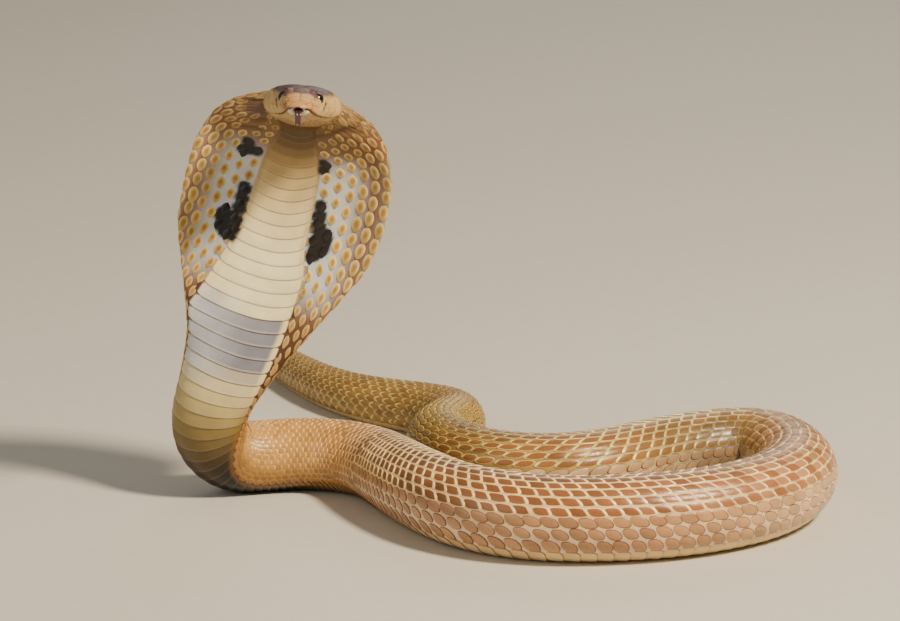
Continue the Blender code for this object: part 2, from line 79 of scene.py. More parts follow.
# sizes of the body's cross-sections, as tables of length from the snout and size
form = {
    "girth": ((4.1, 1.36), (16, 1.42), (25, 1.42), (29, 1.52), (36, 1.6), (48, 1.6), (58, 1.48),
              (66, 1.38), (72, 1.25), (77, 1.04), (84, 0.82), (94, 0.58), (102, 0.3), (106, 0.1)),
    "neckDepth": ((4.1, 0.76), (10, 0.86), (15, 1.08), (20, 1.36)),
    "hoodSpread": ((4.1, 1.42), (4.6, 2.2), (5.1, 2.85), (5.9, 3.42), (7.3, 3.82), (8.9, 3.87),
                   (10.3, 3.66), (11.5, 3.16), (12.9, 2.52), (14.3, 2.0), (15.6, 1.68), (17.1, 1.46), (19, 1.42)),
    "hoodRightExtra": ((9.4, 0), (10.4, 0.14), (11.5, 0.3), (13.0, 0.38), (14.2, 0.3), (15.2, 0.18),
                       (17.0, 0.05), (19, 0)),
    "columnHalf": 1.35, "columnFront": 0.95, "columnBack": 0.55, "membraneHalf": 0.24,
    "bow": 0.95, "bowRise": 4.5, "hoodStart": 4.1, "hoodFull": 6.5, "hoodFade": 12.1, "hoodEnd": 18.6,
    "bellyRatio": 0.96, "backRatio": 1.0, "headEnd": 4.1,
    # length, half width, height over the middle and depth under it
    "head": ((0, 0.1, 0.06, 0.06), (0.12, 0.36, 0.17, 0.22), (0.4, 0.5, 0.31, 0.34),
             (0.9, 0.64, 0.47, 0.42), (1.55, 0.84, 0.64, 0.52), (2.25, 1.14, 0.72, 0.6),
             (2.95, 1.38, 0.76, 0.68), (3.5, 1.46, 0.76, 0.73), (4.1, 1.42, 0.76, 0.76)),
    "mouthLine": ((0.0, 98), (0.25, 107), (0.6, 117), (1.2, 125), (1.8, 128), (2.4, 127), (3.0, 112)),
    "mouthEnd": 3.05, "overbite": 0.1,
    "inset": ((0, 0.0), (3.0, 0.0), (4.4, 0.03), (60, 0.03), (90, 0.02), (103, 0.008)),    # skin under the scales
    "platesLeft": ((1.5, 0.75), (3.4, 0.95), (4.6, 0.62), (5.75, 0.81), (7.45, 1.1), (10.2, 1.12),
                   (11.5, 1.38), (14, 1.42), (17, 1.38), (20, 1.14)),
    "platesRight": ((1.5, 0.75), (3.4, 0.95), (4.8, 0.72), (6.45, 1.06), (8.1, 1.3), (9.85, 1.42), (12.5, 1.8),
                    (13.3, 1.94), (14.0, 2.09), (14.6, 2.11), (15.5, 1.9), (16.6, 1.54), (20, 1.14)),
    "platesBack": 0.8,
}


def unit(vectors):
    return vectors / np.maximum(np.linalg.norm(vectors, axis=-1, keepdims=True), 1e-12)


def ease(value):
    value = np.clip(value, 0, 1)
    return value * value * (3 - 2 * value)


def hump(value, middle, width):
    return np.exp(-((value - middle) / width) ** 2)


def profile(table, at):    # a smooth curve through the table's rows, without overshoot
    x, y = np.array(table, float).T
    slopes = np.diff(y) / np.diff(x)
    lean = np.zeros(len(x))
    lean[0], lean[-1] = slopes[0], slopes[-1]
    same = slopes[:-1] * slopes[1:] > 0
    lean[1:-1][same] = 2 / (1 / slopes[:-1][same] + 1 / slopes[1:][same])
    at = np.clip(at, x[0], x[-1])
    i = np.clip(np.searchsorted(x, at) - 1, 0, len(x) - 2)
    h = x[i + 1] - x[i]
    t = (at - x[i]) / h
    rise = y[i] * (1 + 2 * t) * (1 - t) ** 2 + y[i + 1] * t * t * (3 - 2 * t)
    return rise + h * (lean[i] * t * (1 - t) ** 2 + lean[i + 1] * t * t * (t - 1))


def between(table, u, v, first=0):    # a value between the four nearest places of a table
    i, j = u.astype(int), np.minimum(v.astype(int), table.shape[1] - 2)
    u, v, i = u - i, v - j, i + first
    near = table[i, j] * (1 - v) + table[i, j + 1] * v
    far = table[i + 1, j] * (1 - v) + table[i + 1, j + 1] * v
    return near * (1 - u) + far * u


def arcAlong(x, y):
    return np.concatenate([[0], np.cumsum(np.hypot(np.diff(x), np.diff(y)))])


def resample(curve, step):
    lengths = np.concatenate([[0], np.cumsum(np.linalg.norm(np.diff(curve[:, :3], axis=0), axis=1))])
    at = np.linspace(0, lengths[-1], int(round(lengths[-1] / step)) + 1)
    return np.stack([np.interp(at, lengths, column) for column in curve.T], axis=1)


def evenCurve(points, step, smoothing):
    points = np.array(points, float)
    ends = np.vstack([2 * points[0] - points[1], points, 2 * points[-1] - points[-2]])
    dense = []
    for i in range(1, len(ends) - 2):
        a, b, c, d = ends[i - 1:i + 3]
        for t in np.linspace(0, 1, 40, endpoint=False):
            pull = (c - a) * t + (2 * a - 5 * b + 4 * c - d) * t ** 2 + (3 * b - a - 3 * c + d) * t ** 3
            dense.append(b + 0.5 * pull)
    dense = resample(np.array([*dense, points[-1]]), step)
    reach = int(smoothing / step)
    for _ in range(3):
        padded = np.vstack([dense[:1]] * reach + [dense] + [dense[-1:]] * reach)
        sums = np.cumsum(np.vstack([np.zeros((1, dense.shape[1])), padded]), axis=0)
        mean = (sums[2 * reach + 1:] - sums[:-2 * reach - 1]) / (2 * reach + 1)
        place = np.arange(len(dense))
        hold = np.clip(np.minimum(place, place[::-1]) / reach, 0, 1)[:, None]    # the ends stay where they are
        dense = dense * (1 - hold) + mean * hold
    return resample(dense, step)


def makeSpine():
    rows = list(route["raised"])
    for (x, y), length in zip(route["floor"], arcAlong(*np.array(route["floor"]).T)):
        half = profile(form["girth"], route["foot"] + length)
        rows.append((x, y, half * (form["bellyRatio"] - route["bellyFlat"]), 0, 0, 1))
    curve = evenCurve(rows, route["step"], route["smoothing"])
    tailward, back = unit(np.gradient(curve[:, :3], axis=0)), curve[:, 3:]
    back = unit(back - tailward * np.sum(back * tailward, axis=1, keepdims=True))
    return curve[:, :3], np.cross(tailward, back), back


spine = makeSpine()    # points, the way to the left and the way to the back
total = (len(spine[0]) - 1) * route["step"]
print("spine", round(total, 2), "cm")


def spineFrame(length):
    at = np.clip(np.asarray(length, float), 0, total) / route["step"]
    index = np.arange(len(spine[0]))
    centre, left, back = (np.stack([np.interp(at, index, column) for column in rows.T], axis=-1) for rows in spine)
    return centre, unit(left), unit(back)


def bodySection(length, angle):    # sideways and backward offset; the angle is 0 at the back, positive on the left
    girth = profile(form["girth"], length)
    face = np.cos(angle)
    front = face < 0
    # how far the hood is spread at this length
    share = ease((length - form["hoodStart"]) / (form["hoodFull"] - form["hoodStart"]))
    share = share * (1 - ease((length - form["hoodFade"]) / (form["hoodEnd"] - form["hoodFade"])))
    roundBody = girth * np.where(front, form["bellyRatio"], form["backRatio"])
    full = np.where(length < form["neckDepth"][-1][0], profile(form["neckDepth"], length), roundBody)
    height = full * (1 - share) + np.where(front, form["columnFront"], form["columnBack"]) * share
    thin = full * (1 - share) + form["membraneHalf"] * share
    spread = np.where(length < form["hoodSpread"][-1][0], profile(form["hoodSpread"], length), girth)
    spread = spread + np.where(np.sin(angle) < 0, profile(form["hoodRightExtra"], length), 0)
    side = spread * np.sin(angle)
    bump = ease(1.45 - 0.62 * np.abs(side) / form["columnHalf"]) * share + (1 - share)
    rise = thin * np.abs(face) ** (1 - 0.5 * share) + (height - thin) * bump * np.abs(face)
    bow = form["bow"] * share * ease((length - form["hoodStart"] + 0.5) / form["bowRise"])
    return side, np.sign(face) * rise - bow * np.sin(angle) ** 2


def headSection(length, angle):
    table = np.array(form["head"])
    width, above, below = (profile(table[:, (0, i)], length) for i in (1, 2, 3))
    square = 1 - 0.22 * ease(length / 0.8) * (1 - ease((length - 2.9) / 1.1)) * (np.cos(angle) > 0)
    side, face = (np.sign(turn) * np.abs(turn) ** square for turn in (np.sin(angle), np.cos(angle)))
    return width * side, np.where(face > 0, above, below) * face


def bareSkin(length, angle):
    centre, left, back = spineFrame(length)
    onHead = length <= form["headEnd"]
    side, depth = (np.where(onHead, *pair) for pair in zip(headSection(length, angle), bodySection(length, angle)))
    points = centre + left * side[..., None] + back * depth[..., None]
    jaw = ease((np.degrees(np.abs(angle)) - profile(form["mouthLine"], length)) / 3.5)
    return points + np.cross(back, left) * (form["overbite"] * jaw * np.exp(-length / 0.5) * onHead)[..., None]


# folds in the stretched skin beside the jaw, where the skin sinks and is darkened with painted shade: (length, offset
# to the left) along each one, and its half width
folds = {
    "lines": (((4.95, 0.7), (4.8, 0.97), (4.65, 1.25), (4.55, 1.56), (4.62, 1.95), (4.75, 2.2)),
              ((4.22, -1.49), (4.45, -1.87), (4.65, -2.23)), ((4.5, -1.28), (4.9, -1.67), (5.05, -2.13)),
              ((5.35, -1.4), (5.5, -1.8), (5.75, -2.15))),
    "wide": (0.06, 0.045, 0.04, 0.02), "soft": 0.13, "deep": 0.06,
    "ripples": (5.0, 0.7), "rippleHigh": 0.012, "rippleTurns": (40, 4),    # finer ones along the same stretch
    "crease": (55.0, 3.4),    # where the tight bend presses the skin together and painted shade darkens its inside, and over what length
}


def foldAmount(length, angle):
    side, _ = bodySection(length, angle)
    amount = np.zeros_like(side)
    near = (length > 4.0) & (length < 6.2) & (np.cos(angle) < 0.2)
    if near.any():
        x, y = length[near], side[near]
        best = np.zeros_like(x)
        for line, wide in zip(folds["lines"], folds["wide"]):
            for (x0, y0), (x1, y1) in zip(line, line[1:]):
                wayX, wayY = x1 - x0, y1 - y0
                run = np.clip(((x - x0) * wayX + (y - y0) * wayY) / (wayX ** 2 + wayY ** 2), 0, 1)
                away = np.hypot(x - x0 - run * wayX, y - y0 - run * wayY)
                best = np.maximum(best, 1 - ease((away - wide) / folds["soft"]))
        amount[near] = best
    return amount


def creaseShadeAmount(length, angle):    # painted shade on the inside of the tight bend
    return ease((-np.sin(angle) - 0.1) / 0.5) * hump(length, *folds["crease"])


def skinPlace(length, angle, rise=0.0):    # points at a height over the skin, in metres in the room, and the way out
    length, angle = np.broadcast_arrays(np.clip(np.asarray(length, float), 0, total - 0.02), np.asarray(angle, float))
    base = bareSkin(length, angle)
    ripple = hump(length, *folds["ripples"]) * (np.cos(angle) < 0.3) * ease((np.abs(np.sin(angle)) - 0.2) / 0.3)
    around, along = folds["rippleTurns"]
    rise = rise + folds["rippleHigh"] * ripple * np.sin(np.abs(angle) * around + length * along)
    rise = rise - folds["deep"] * foldAmount(length, angle)
    out = unit(np.cross(bareSkin(length, angle + 0.02) - base, bareSkin(length + 0.03, angle) - base))
    points = base + out * (rise - profile(form["inset"], length))[..., None]
    points[..., 2] = np.maximum(points[..., 2], 0)
    return (points + shift) * cm, out


eye = {
    "at": (1.5, 0.68, 0.36),    # length, to the left and up from the spine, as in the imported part
    "radius": 0.26, "sunk": 0.185, "rows": 40, "columns": 48,
    "pupil": 0.62, "iris": 0.84,    # as shares of the ball's radius
}


def findShift():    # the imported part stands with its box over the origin, so its eye tells where it was moved to
    centre, left, back = spineFrame(eye["at"][0])
    low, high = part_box("eye_left")
    return np.array((low + high) / 2) / cm - (centre + left * eye["at"][1] + back * eye["at"][2])


shift = findShift()

# the girdle: where a share of the way from the mid back (0) to the plates' edge (1) and the mid belly (2) lies
girdle = {"lengths": np.arange(0, total + 0.2, 0.1), "shares": np.linspace(0, 2, 241), "angles": 361}


def plateHalf(length, side):
    table = form["platesLeft"] if side > 0 else form["platesRight"]
    return np.where(length < table[-1][0], profile(table, length), form["platesBack"] * profile(form["girth"], length))


def makeGirdle(side):
    angles = np.linspace(0, pi, girdle["angles"])
    shares = girdle["shares"]
    rows = []
    for length, plate in zip(girdle["lengths"], plateHalf(girdle["lengths"], side)):
        section = headSection if length <= form["headEnd"] else bodySection
        x, y = section(np.full(len(angles), length), angles)
        arc = arcAlong(x, y)
        under = np.where(angles > pi / 2, np.abs(x), 99.0)
        edge = np.interp(-min(plate, 0.97 * np.max(np.abs(x))), -under, arc)
        want = np.where(shares <= 1, shares * edge, edge + (shares - 1) * (arc[-1] - edge))
        rows.append(np.interp(want, arc, angles))
    return np.array(rows)


girdleAngles = np.concatenate([makeGirdle(1), makeGirdle(-1)])


def angleAt(length, share):    # share is signed, positive on the left
    count = len(girdle["lengths"])
    u = np.clip(np.clip(length, 0, total) / 0.1, 0, count - 1.001)
    v = np.clip(np.abs(share) / girdle["shares"][1], 0, len(girdle["shares"]) - 1.001)
    return between(girdleAngles, u, v, (share < 0) * count) * np.where(share < 0, -1, 1)


def shareAt(length, angle):    # the share of a point on the skin, the other way round from angleAt
    low, high = np.zeros_like(length), np.full_like(length, 2.0)
    sign = np.where(angle < 0, -1.0, 1.0)
    for _ in range(14):
        middle = (low + high) / 2
        over = np.abs(angleAt(length, middle * sign)) > np.abs(angle)
        high, low = np.where(over, middle, high), np.where(over, low, middle)
    return (low + high) / 2 * sign


# markings: (length, offset to the left, radius) of the black marks on the throat side of the hood
markings = {
    "throat": ((8.62, -1.6, 0.27), (9.05, -1.62, 0.27), (9.5, -1.62, 0.27), (9.95, -1.62, 0.25), (10.35, -1.6, 0.22),
               (10.7, -1.59, 0.15), (9.98, -2.1, 0.36), (10.5, -1.94, 0.3), (8.62, 1.32, 0.23), (9.05, 1.38, 0.29),
               (9.45, 1.43, 0.31), (9.85, 1.66, 0.42), (10.15, 1.7, 0.38), (10.45, 1.52, 0.3), (6.5, -1.77, 0.26),
               (6.8, -1.42, 0.21), (6.93, -1.98, 0.2), (6.8, -1.72, 0.26), (6.62, 1.11, 0.17), (7.02, 1.17, 0.23)),
    # the spectacle on the back of the hood: two pale rings joined by a bow, with a dark centre and border
    "ringAt": (7.7, 1.25), "ring": 0.58, "ringWidth": 0.17, "bow": 1.55, "border": 0.16,
}


def markAmount(length, angle):    # how black and how pale a place is
    side, _ = bodySection(length, angle)
    dark = np.zeros_like(side)
    for at, offset, radius in markings["throat"]:
        away = np.hypot(length - at, (side - offset) * 1.1)
        dark = np.maximum(dark, 1 - ease((away - radius) / 0.1))
    dark = dark * (np.cos(angle) < 0.1)
    s0, x0 = markings["ringAt"]
    centre = np.hypot((length - s0) * 0.85, np.abs(side) - x0)
    bow = np.abs(np.hypot(length - s0 - 0.3, side) - markings["bow"]) + 9.0 * (length < s0 + 0.35)
    line = np.minimum(np.abs(centre - markings["ring"]), bow) - markings["ringWidth"]
    pale = 1 - ease(line / 0.1)
    border = (1 - ease((line - markings["border"]) / 0.12)) * (1 - pale)
    border = np.maximum(border, 1 - ease((centre - 0.26) / 0.14))
    behind = (np.cos(angle) > 0.1) * (length > 5) * (length < 11)
    return np.maximum(dark, border * behind), pale * behind


# the head's shields as cells: length, arc from the mid line, and half sizes along and across
shields = {
    "crown": ((0.08, 0.0, 0.17, 0.34), (0.43, 0.2, 0.21, 0.21), (0.86, 0.26, 0.25, 0.27),
              (1.53, 0.0, 0.44, 0.27), (1.45, 0.5, 0.37, 0.19), (2.44, 0.36, 0.56, 0.38),
              (0.34, 0.56, 0.13, 0.15), (0.64, 0.62, 0.15, 0.16), (1.0, 0.8, 0.18, 0.2),
              (1.93, 0.92, 0.13, 0.13), (1.9, 1.2, 0.13, 0.14), (2.24, 1.0, 0.22, 0.15),
              (2.3, 1.3, 0.22, 0.15), (2.72, 0.98, 0.24, 0.16), (2.78, 1.3, 0.24, 0.16)),
    "lips": ((0.3, 0.15), (0.6, 0.15), (0.93, 0.18), (1.34, 0.23), (1.79, 0.22), (2.26, 0.24), (2.74, 0.24)),
    "upperRise": 0.19, "lowerDrop": 0.17,
    "chin": ((0.12, 0.0, 0.16, 0.24), (0.8, 0.17, 0.36, 0.17), (1.52, 0.22, 0.36, 0.18)),
    "groove": 0.016, "grooveWidth": 0.085, "dome": 0.012,
    "nostril": (0.49, 0.6, 0.055), "eyeArc": 0.77, "notch": (0.19, -0.1, 0.13),
}


def headArc(length, angle):    # arc in cm from the mid line over the skin, and its whole length to the mid chin
    angles, stations = np.linspace(0, pi, 121), np.arange(0, 4.3, 0.05)
    table = np.array([arcAlong(*headSection(np.full(121, station), angles)) for station in stations])
    u = np.clip(length / 0.05, 0, len(stations) - 1.001)
    v = np.clip(np.abs(angle) / pi * 120, 0, 119.999)
    return between(table, u, v), between(table, u, np.full_like(u, 120))


def headRelief(length, angle):    # height over the plain head, and the masks that colour it
    arc, whole = headArc(length, angle)
    mouthArc, _ = headArc(length, np.radians(profile(form["mouthLine"], length)))
    upper = arc < mouthArc
    cells = [(arc, *cell, upper) for cell in shields["crown"]]
    for at, half in shields["lips"]:
        cells.append((arc - mouthArc, at, -shields["upperRise"], half, 0.19, upper))
        cells.append((arc - mouthArc, at - 0.04, shields["lowerDrop"], half, 0.17, ~upper))
    cells += [(whole - arc, *cell, ~upper) for cell in shields["chin"]]
    first, second = np.full_like(arc, 9.0), np.full_like(arc, 9.0)
    for across, at, middle, halfLong, halfWide, side in cells:
        away = np.hypot((length - at) / halfLong, (across - middle) / halfWide) * (1 if middle else 0.97)
        away = np.where(side, away, 9.0)
        second = np.minimum(second, np.maximum(first, away))
        first = np.minimum(first, away)
    for across, at, middle, halfLong, halfWide, side in cells:
        if middle > 0:    # a shield that touches its mirror image ends at the mid line
            mirror = np.where(side, np.hypot((length - at) / halfLong, (across + middle) / halfWide), 9.0)
            second = np.minimum(second, np.maximum(first, mirror))
    reach = 1 - ease((length - 2.95) / 0.25)
    near = ease((1.9 - first) / 0.5) * reach
    suture = hump(second - first, 0, 2 * shields["grooveWidth"]) * near
    mouth = hump(arc, mouthArc, 0.035) * ease(length / 0.12) * ease((form["mouthEnd"] - length) / 0.12)
    at, across, radius = shields["nostril"]
    nostril = ease(1.6 - np.hypot(length - at, arc - across) / radius)
    aside = arc - shields["eyeArc"]
    ahead = np.hypot((length - eye["at"][0]) * 1.3, aside)
    socket = ease((0.265 - ahead) / 0.06)
    brow = hump(aside, -0.31, 0.1) * hump(length, 1.45, 0.36)
    smudge = hump(length, 1.72, 0.1) * hump(aside, 0.38, 0.09)
    smudge = np.maximum(smudge, hump(length, 1.62, 0.05) * hump(aside, 0.5, 0.1))
    side, depth = headSection(length, angle)
    wide, high, low = shields["notch"]
    notch = ease((1.12 - np.hypot(side / wide, (depth - high) / low)) / 0.3) * (length < 0.42)
    rise = shields["dome"] * np.clip(1 - first ** 2, 0, 1) * near - shields["groove"] * suture
    rise = rise + 0.02 * hump(arc, mouthArc - 0.09, 0.05) * reach * ease(length / 0.3)    # the lips stand out
    rise = rise + 0.02 * hump(ahead, 0.3, 0.035) + 0.045 * brow
    rise = rise - 0.07 * mouth - 0.09 * nostril - 0.07 * socket - 0.1 * notch
    return rise, {"suture": suture, "mouth": mouth, "nostril": nostril, "socket": socket, "smudge": smudge,
                  "notch": notch, "upper": upper}


def makeMesh(name, points, quads, fans, fields, patch=None):
    mesh = bpy.data.meshes.new(name)
    points, quads, fans = (np.reshape(part, (-1, size)) for part, size in ((points, 3), (quads, 4), (fans, 3)))
    loops = np.concatenate([quads.ravel(), fans.ravel()]).astype(np.int32)
    starts = np.concatenate([np.arange(len(quads)) * 4, len(quads) * 4 + np.arange(len(fans)) * 3])
    mesh.vertices.add(len(points))
    mesh.vertices.foreach_set("co", points.astype(np.float32).ravel())
    mesh.loops.add(len(loops))
    mesh.loops.foreach_set("vertex_index", loops)
    mesh.polygons.add(len(starts))
    mesh.polygons.foreach_set("loop_start", starts.astype(np.int32))
    mesh.update(calc_edges=True)
    mesh.shade_smooth()
    for field, values in fields.items():
        mesh.attributes.new(field, "FLOAT", "POINT").data.foreach_set("value", np.asarray(values, np.float32).ravel())
    if patch is not None:
        layer = mesh.uv_layers.new(name="OFBake")
        layer.data.foreach_set("uv", np.reshape(patch, (-1, 2)).astype(np.float32)[loops].ravel())
    piece = bpy.data.objects.new(name, mesh)
    bpy.context.collection.objects.link(piece)
    return piece


def gridFaces(rows, columns, closed):
    index = np.arange(rows * columns).reshape(rows, columns)
    after = np.roll(index, -1, axis=1) if closed else index[:, 1:]
    here = index if closed else index[:, :-1]
    return np.stack([here[:-1], here[1:], after[1:], after[:-1]], axis=-1).reshape(-1, 4)


def unwrap(length, share, u=0, v=0):    # a place on the skin's unwrap; u and v span a scale's own small patch
    margin, patch = 0.01, 0.0015
    along = margin + (1 - 2 * margin) * length / total + patch * u
    return np.stack([along, 0.5 + 0.24 * share + patch * v], axis=-1)


# one skin from snout to tail
skinSet = {"around": 208, "tip": 0.3, "tipRows": 24, "tipPower": 1.7, "headStep": 0.025, "hoodStep": 0.07,
           "hoodEnd": 18.0, "bodyStep": 0.22, "relief": 3.4}    # the relief of the head ends where the scales start


def makeSkin():
    stations = np.concatenate([
        skinSet["tip"] * np.linspace(0, 1, skinSet["tipRows"]) ** skinSet["tipPower"],
        np.arange(skinSet["tip"] + skinSet["headStep"], form["headEnd"], skinSet["headStep"]),
        np.arange(form["headEnd"], skinSet["hoodEnd"], skinSet["hoodStep"]),
        np.arange(skinSet["hoodEnd"], total - 0.1, skinSet["bodyStep"]), [total - 0.02]])
    rows, columns = len(stations), skinSet["around"]
    length, angle = np.meshgrid(stations, np.arange(columns) / columns * 2 * pi - pi, indexing="ij")
    share = shareAt(length, angle)
    black, pale = markAmount(length, angle)
    fields = {"along": length, "round": np.abs(share), "black": black, "pale": pale, "facing": np.cos(angle),
              "fold": foldAmount(length, angle), "crease": creaseShadeAmount(length, angle)}
    on = stations < skinSet["relief"]
    rise = np.zeros_like(length)
    rise[on], masks = headRelief(length[on], angle[on])
    for name, values in masks.items():
        fields[name] = np.zeros_like(length)
        fields[name][on] = values
    points, _ = skinPlace(length, angle, rise)
    caps = []    # a fan closes the snout, and one the tip of the tail
    for middle, first, way in ((rows * columns, 0, 1), (rows * columns + 1, (rows - 1) * columns, -1)):
        here = np.arange(columns)
        caps.append(np.stack([np.full(columns, middle), first + here, first + (here + 1) % columns][::way], axis=-1))
    points = np.vstack([points.reshape(-1, 3), points[[0, -1]].mean(axis=1)])
    fields = {name: np.append(values, values[[0, -1]].mean(axis=1)) for name, values in fields.items()}
    place = unwrap(fields["along"], np.append(share, [0, 0]))
    return makeMesh("skin", points, gridFaces(rows, columns, True), caps, fields, place)


skin = makeSkin()
print("skin", len(skin.data.polygons), "faces")

# scales: each one is a small closed shell laid on the skin, with its front edge sunk and its hind edge raised
scaleSet = {
    "pitch": ((3.0, 0.4), (4.5, 0.46), (7, 0.53), (14.5, 0.54), (16.5, 0.44), (19, 0.33), (24.5, 0.33),
              (28, 0.31), (30.5, 0.42), (33, 0.54), (46, 0.54), (54, 0.56), (60, 0.6), (74, 0.54), (84, 0.46),
              (94, 0.36), (103, 0.26)),
    # from, to, rows across the back and flanks, and how much wider the lowest ones are
    "rows": ((3.02, 4.2, 25, 0.2), (4.2, 14.6, 31, 0.15), (14.6, 18.8, 25, 0.4), (18.8, 24.9, 29, 0.3),
             (24.9, 27.2, 21, 0.4), (27.2, 65.5, 17, 0.7), (65.5, 76, 19, 0.5), (76, 85, 17, 0.5), (85, 92, 13, 0.4),
             (92, 98, 9, 0.3), (98, 102.6, 7, 0.3)),
    "hoodPitch": 1.22, "hoodRows": 4.2,    # the rows that start here follow the spread skin
    "longShare": ((3.0, 1.0), (5, 0.98), (8, 1.02), (12, 1.02), (16, 1.1), (20, 1.22), (60, 1.26), (66, 1.0),
                  (71, 1.12), (80, 1.24), (103, 1.2)),
    "wideShare": ((3.0, 0.98), (5, 0.84), (8, 0.82), (12, 0.84), (15, 0.93), (19, 1.0), (30, 1.04), (60, 1.04),
                  (66, 0.9), (71, 0.95), (80, 1.02), (103, 1.0)),
    "corner": ((3.0, 2.2), (8, 2.0), (15, 2.2), (22, 2.8), (30, 3.3), (60, 3.2), (66, 2.1), (80, 2.6), (103, 2.4)),
    "thick": ((3.0, 0.016), (5.5, 0.026), (8, 0.036), (17, 0.03), (19.5, 0.018), (26, 0.02), (31, 0.032),
              (60, 0.032), (90, 0.018), (103, 0.01)),
    # how far the scales lean so that their ends meet in slanting lines
    "lean": ((26, 0.0), (30, 0.34), (44, 0.34), (48, 0.16), (54, 0.16), (58, 0.4), (64, 0.4), (67, 0.0), (103, 0.0)),
    # heights as shares of the thickness: at the middle, towards the hind edge, of the dome and down at the lip
    "middle": 0.4, "lift": 0.52, "dome": 0.62, "lip": 0.2, "lipFrom": 0.88, "taper": 0.16, "skirt": 5 / 3,
    "sides": 16, "rings": (0.4, 0.7, 0.86, 0.96, 1.0, 0.99), "sunkRing": 1.15,
    "jitter": 0.04, "turned": 0.04, "grown": 0.035,    # how far places, ways and sizes vary by chance
}


def layScales(name, places):    # one shell for each scale; half lengths are in cm, half widths in shares
    length, share, halfLong, halfWide, corner, thick, low, parity = np.array(places)[..., None]
    sides, rings = scaleSet["sides"], scaleSet["rings"]
    turn = np.arange(sides) / sides * 2 * pi
    x, y = (np.sign(way) * np.abs(way) ** (2 / corner) for way in (np.cos(turn), np.sin(turn)))
    tilt = dice.normal(0, scaleSet["turned"], length.shape)
    tilt = tilt + profile(scaleSet["lean"], length) * np.where(share < 0, -1, 1)
    grow = 1 + dice.normal(0, scaleSet["grown"], length.shape)
    u, r = (np.hstack([0 * length, *(grid * ring for ring in rings)]) for grid in (x, np.ones_like(x)))
    v = np.hstack([0 * length, *(y * ring * (1 - scaleSet["taper"] * np.clip(x * ring, 0, 1) ** 2) for ring in rings)])
    r[:, -sides:] = scaleSet["sunkRing"]    # the last ring is the skirt that sinks into the skin
    ahead, behind = (bareSkin(length + way, angleAt(length + way, share)) for way in (-0.05, 0.05))
    thick = thick * np.clip(np.linalg.norm(behind - ahead, axis=-1) / 0.1, 0.3, 1)    # thinner inside a bend
    lip = scaleSet["lip"] * ease((r - scaleSet["lipFrom"]) / (1 - scaleSet["lipFrom"]))
    rise = scaleSet["middle"] + scaleSet["lift"] * u + scaleSet["dome"] * np.clip(1 - r ** 2.2, 0, 1) - lip
    rise[:, -sides:] = -scaleSet["skirt"]
    rise = rise * thick
    at = length + halfLong * (u + tilt * v) * grow
    angle = angleAt(at, share + halfWide * v * grow)
    points, _ = skinPlace(at, angle, rise)
    quads = np.roll(gridFaces(len(rings), sides, True)[:, ::-1], 1, axis=1) + 1
    k, last = np.arange(sides), 1 + (len(rings) - 1) * sides
    caps = np.vstack([np.stack([0 * k, 1 + (k + 1) % sides, 1 + k], axis=-1),
                      last + np.stack([0 * k, k + 1, k + 2], axis=-1)[:-2]])
    offset = np.arange(len(length))[:, None, None] * u.shape[1]
    flat = lambda values: np.broadcast_to(values, u.shape)
    middle = angleAt(length, share)
    black, pale = markAmount(length, middle)
    fields = {
        "along": flat(length), "round": flat(np.abs(share)), "edge": r, "hind": u, "low": flat(low),
        "pick": flat(dice.random(length.shape)), "parity": flat(parity),
        "black": flat(ease(black * 4 - 1.2)), "pale": flat(ease(pale * 1.6 - 0.3)),
        "fold": foldAmount(at, angle), "crease": creaseShadeAmount(at, angle),
    }
    return makeMesh(name, points, quads + offset, caps + offset, fields, unwrap(length, share, u, v))


def rowPlaces(rows, widening):    # places of the lengthwise rows and their half widths, in shares
    half = rows // 2
    width = 1 + widening * np.exp(-(half - np.arange(half + 1)) / 1.3)
    width[0] *= 0.5
    edges = np.append(0, np.cumsum(width))
    edges /= edges[-1]
    middle, wide = (edges[:-1] + edges[1:]) / 2, np.diff(edges) / 2
    middle[0] = 0
    wide[0] *= 2
    return middle, wide


def stationsAlong(start, end):    # the rows across the body, one for each belly plate
    fine = np.arange(start, end, 0.01)
    count = np.append(0, np.cumsum(0.01 / profile(scaleSet["pitch"], fine)))[:-1]
    return np.interp(np.arange(0, int(count[-1]) + 1), count, fine)


crossRows = stationsAlong(2.74, total - 0.3)


def hoodStations(share, odd, start, end):    # one lengthwise row of the hood, evenly spaced on the spread skin
    fine = np.arange(start, end, 0.02)
    points = bareSkin(fine, angleAt(fine, np.full(len(fine), share)))
    stretch = np.clip(np.linalg.norm(np.gradient(points, axis=0), axis=1) / 0.02, 1, 2.4) ** ease((12 - fine) / 3)
    count = np.cumsum(0.02 * stretch / (profile(scaleSet["pitch"], fine) * scaleSet["hoodPitch"]))
    count -= np.interp(9.0, fine, count)    # all rows are in step at the black marks
    steps = np.arange(np.ceil(count[0]), np.floor(count[-1]) + 1) + 0.5 * odd
    at = np.interp(steps[(steps >= count[0]) & (steps <= count[-1])], count, fine)
    return at, profile(scaleSet["pitch"], at) * scaleSet["hoodPitch"] / np.interp(at, fine, stretch)


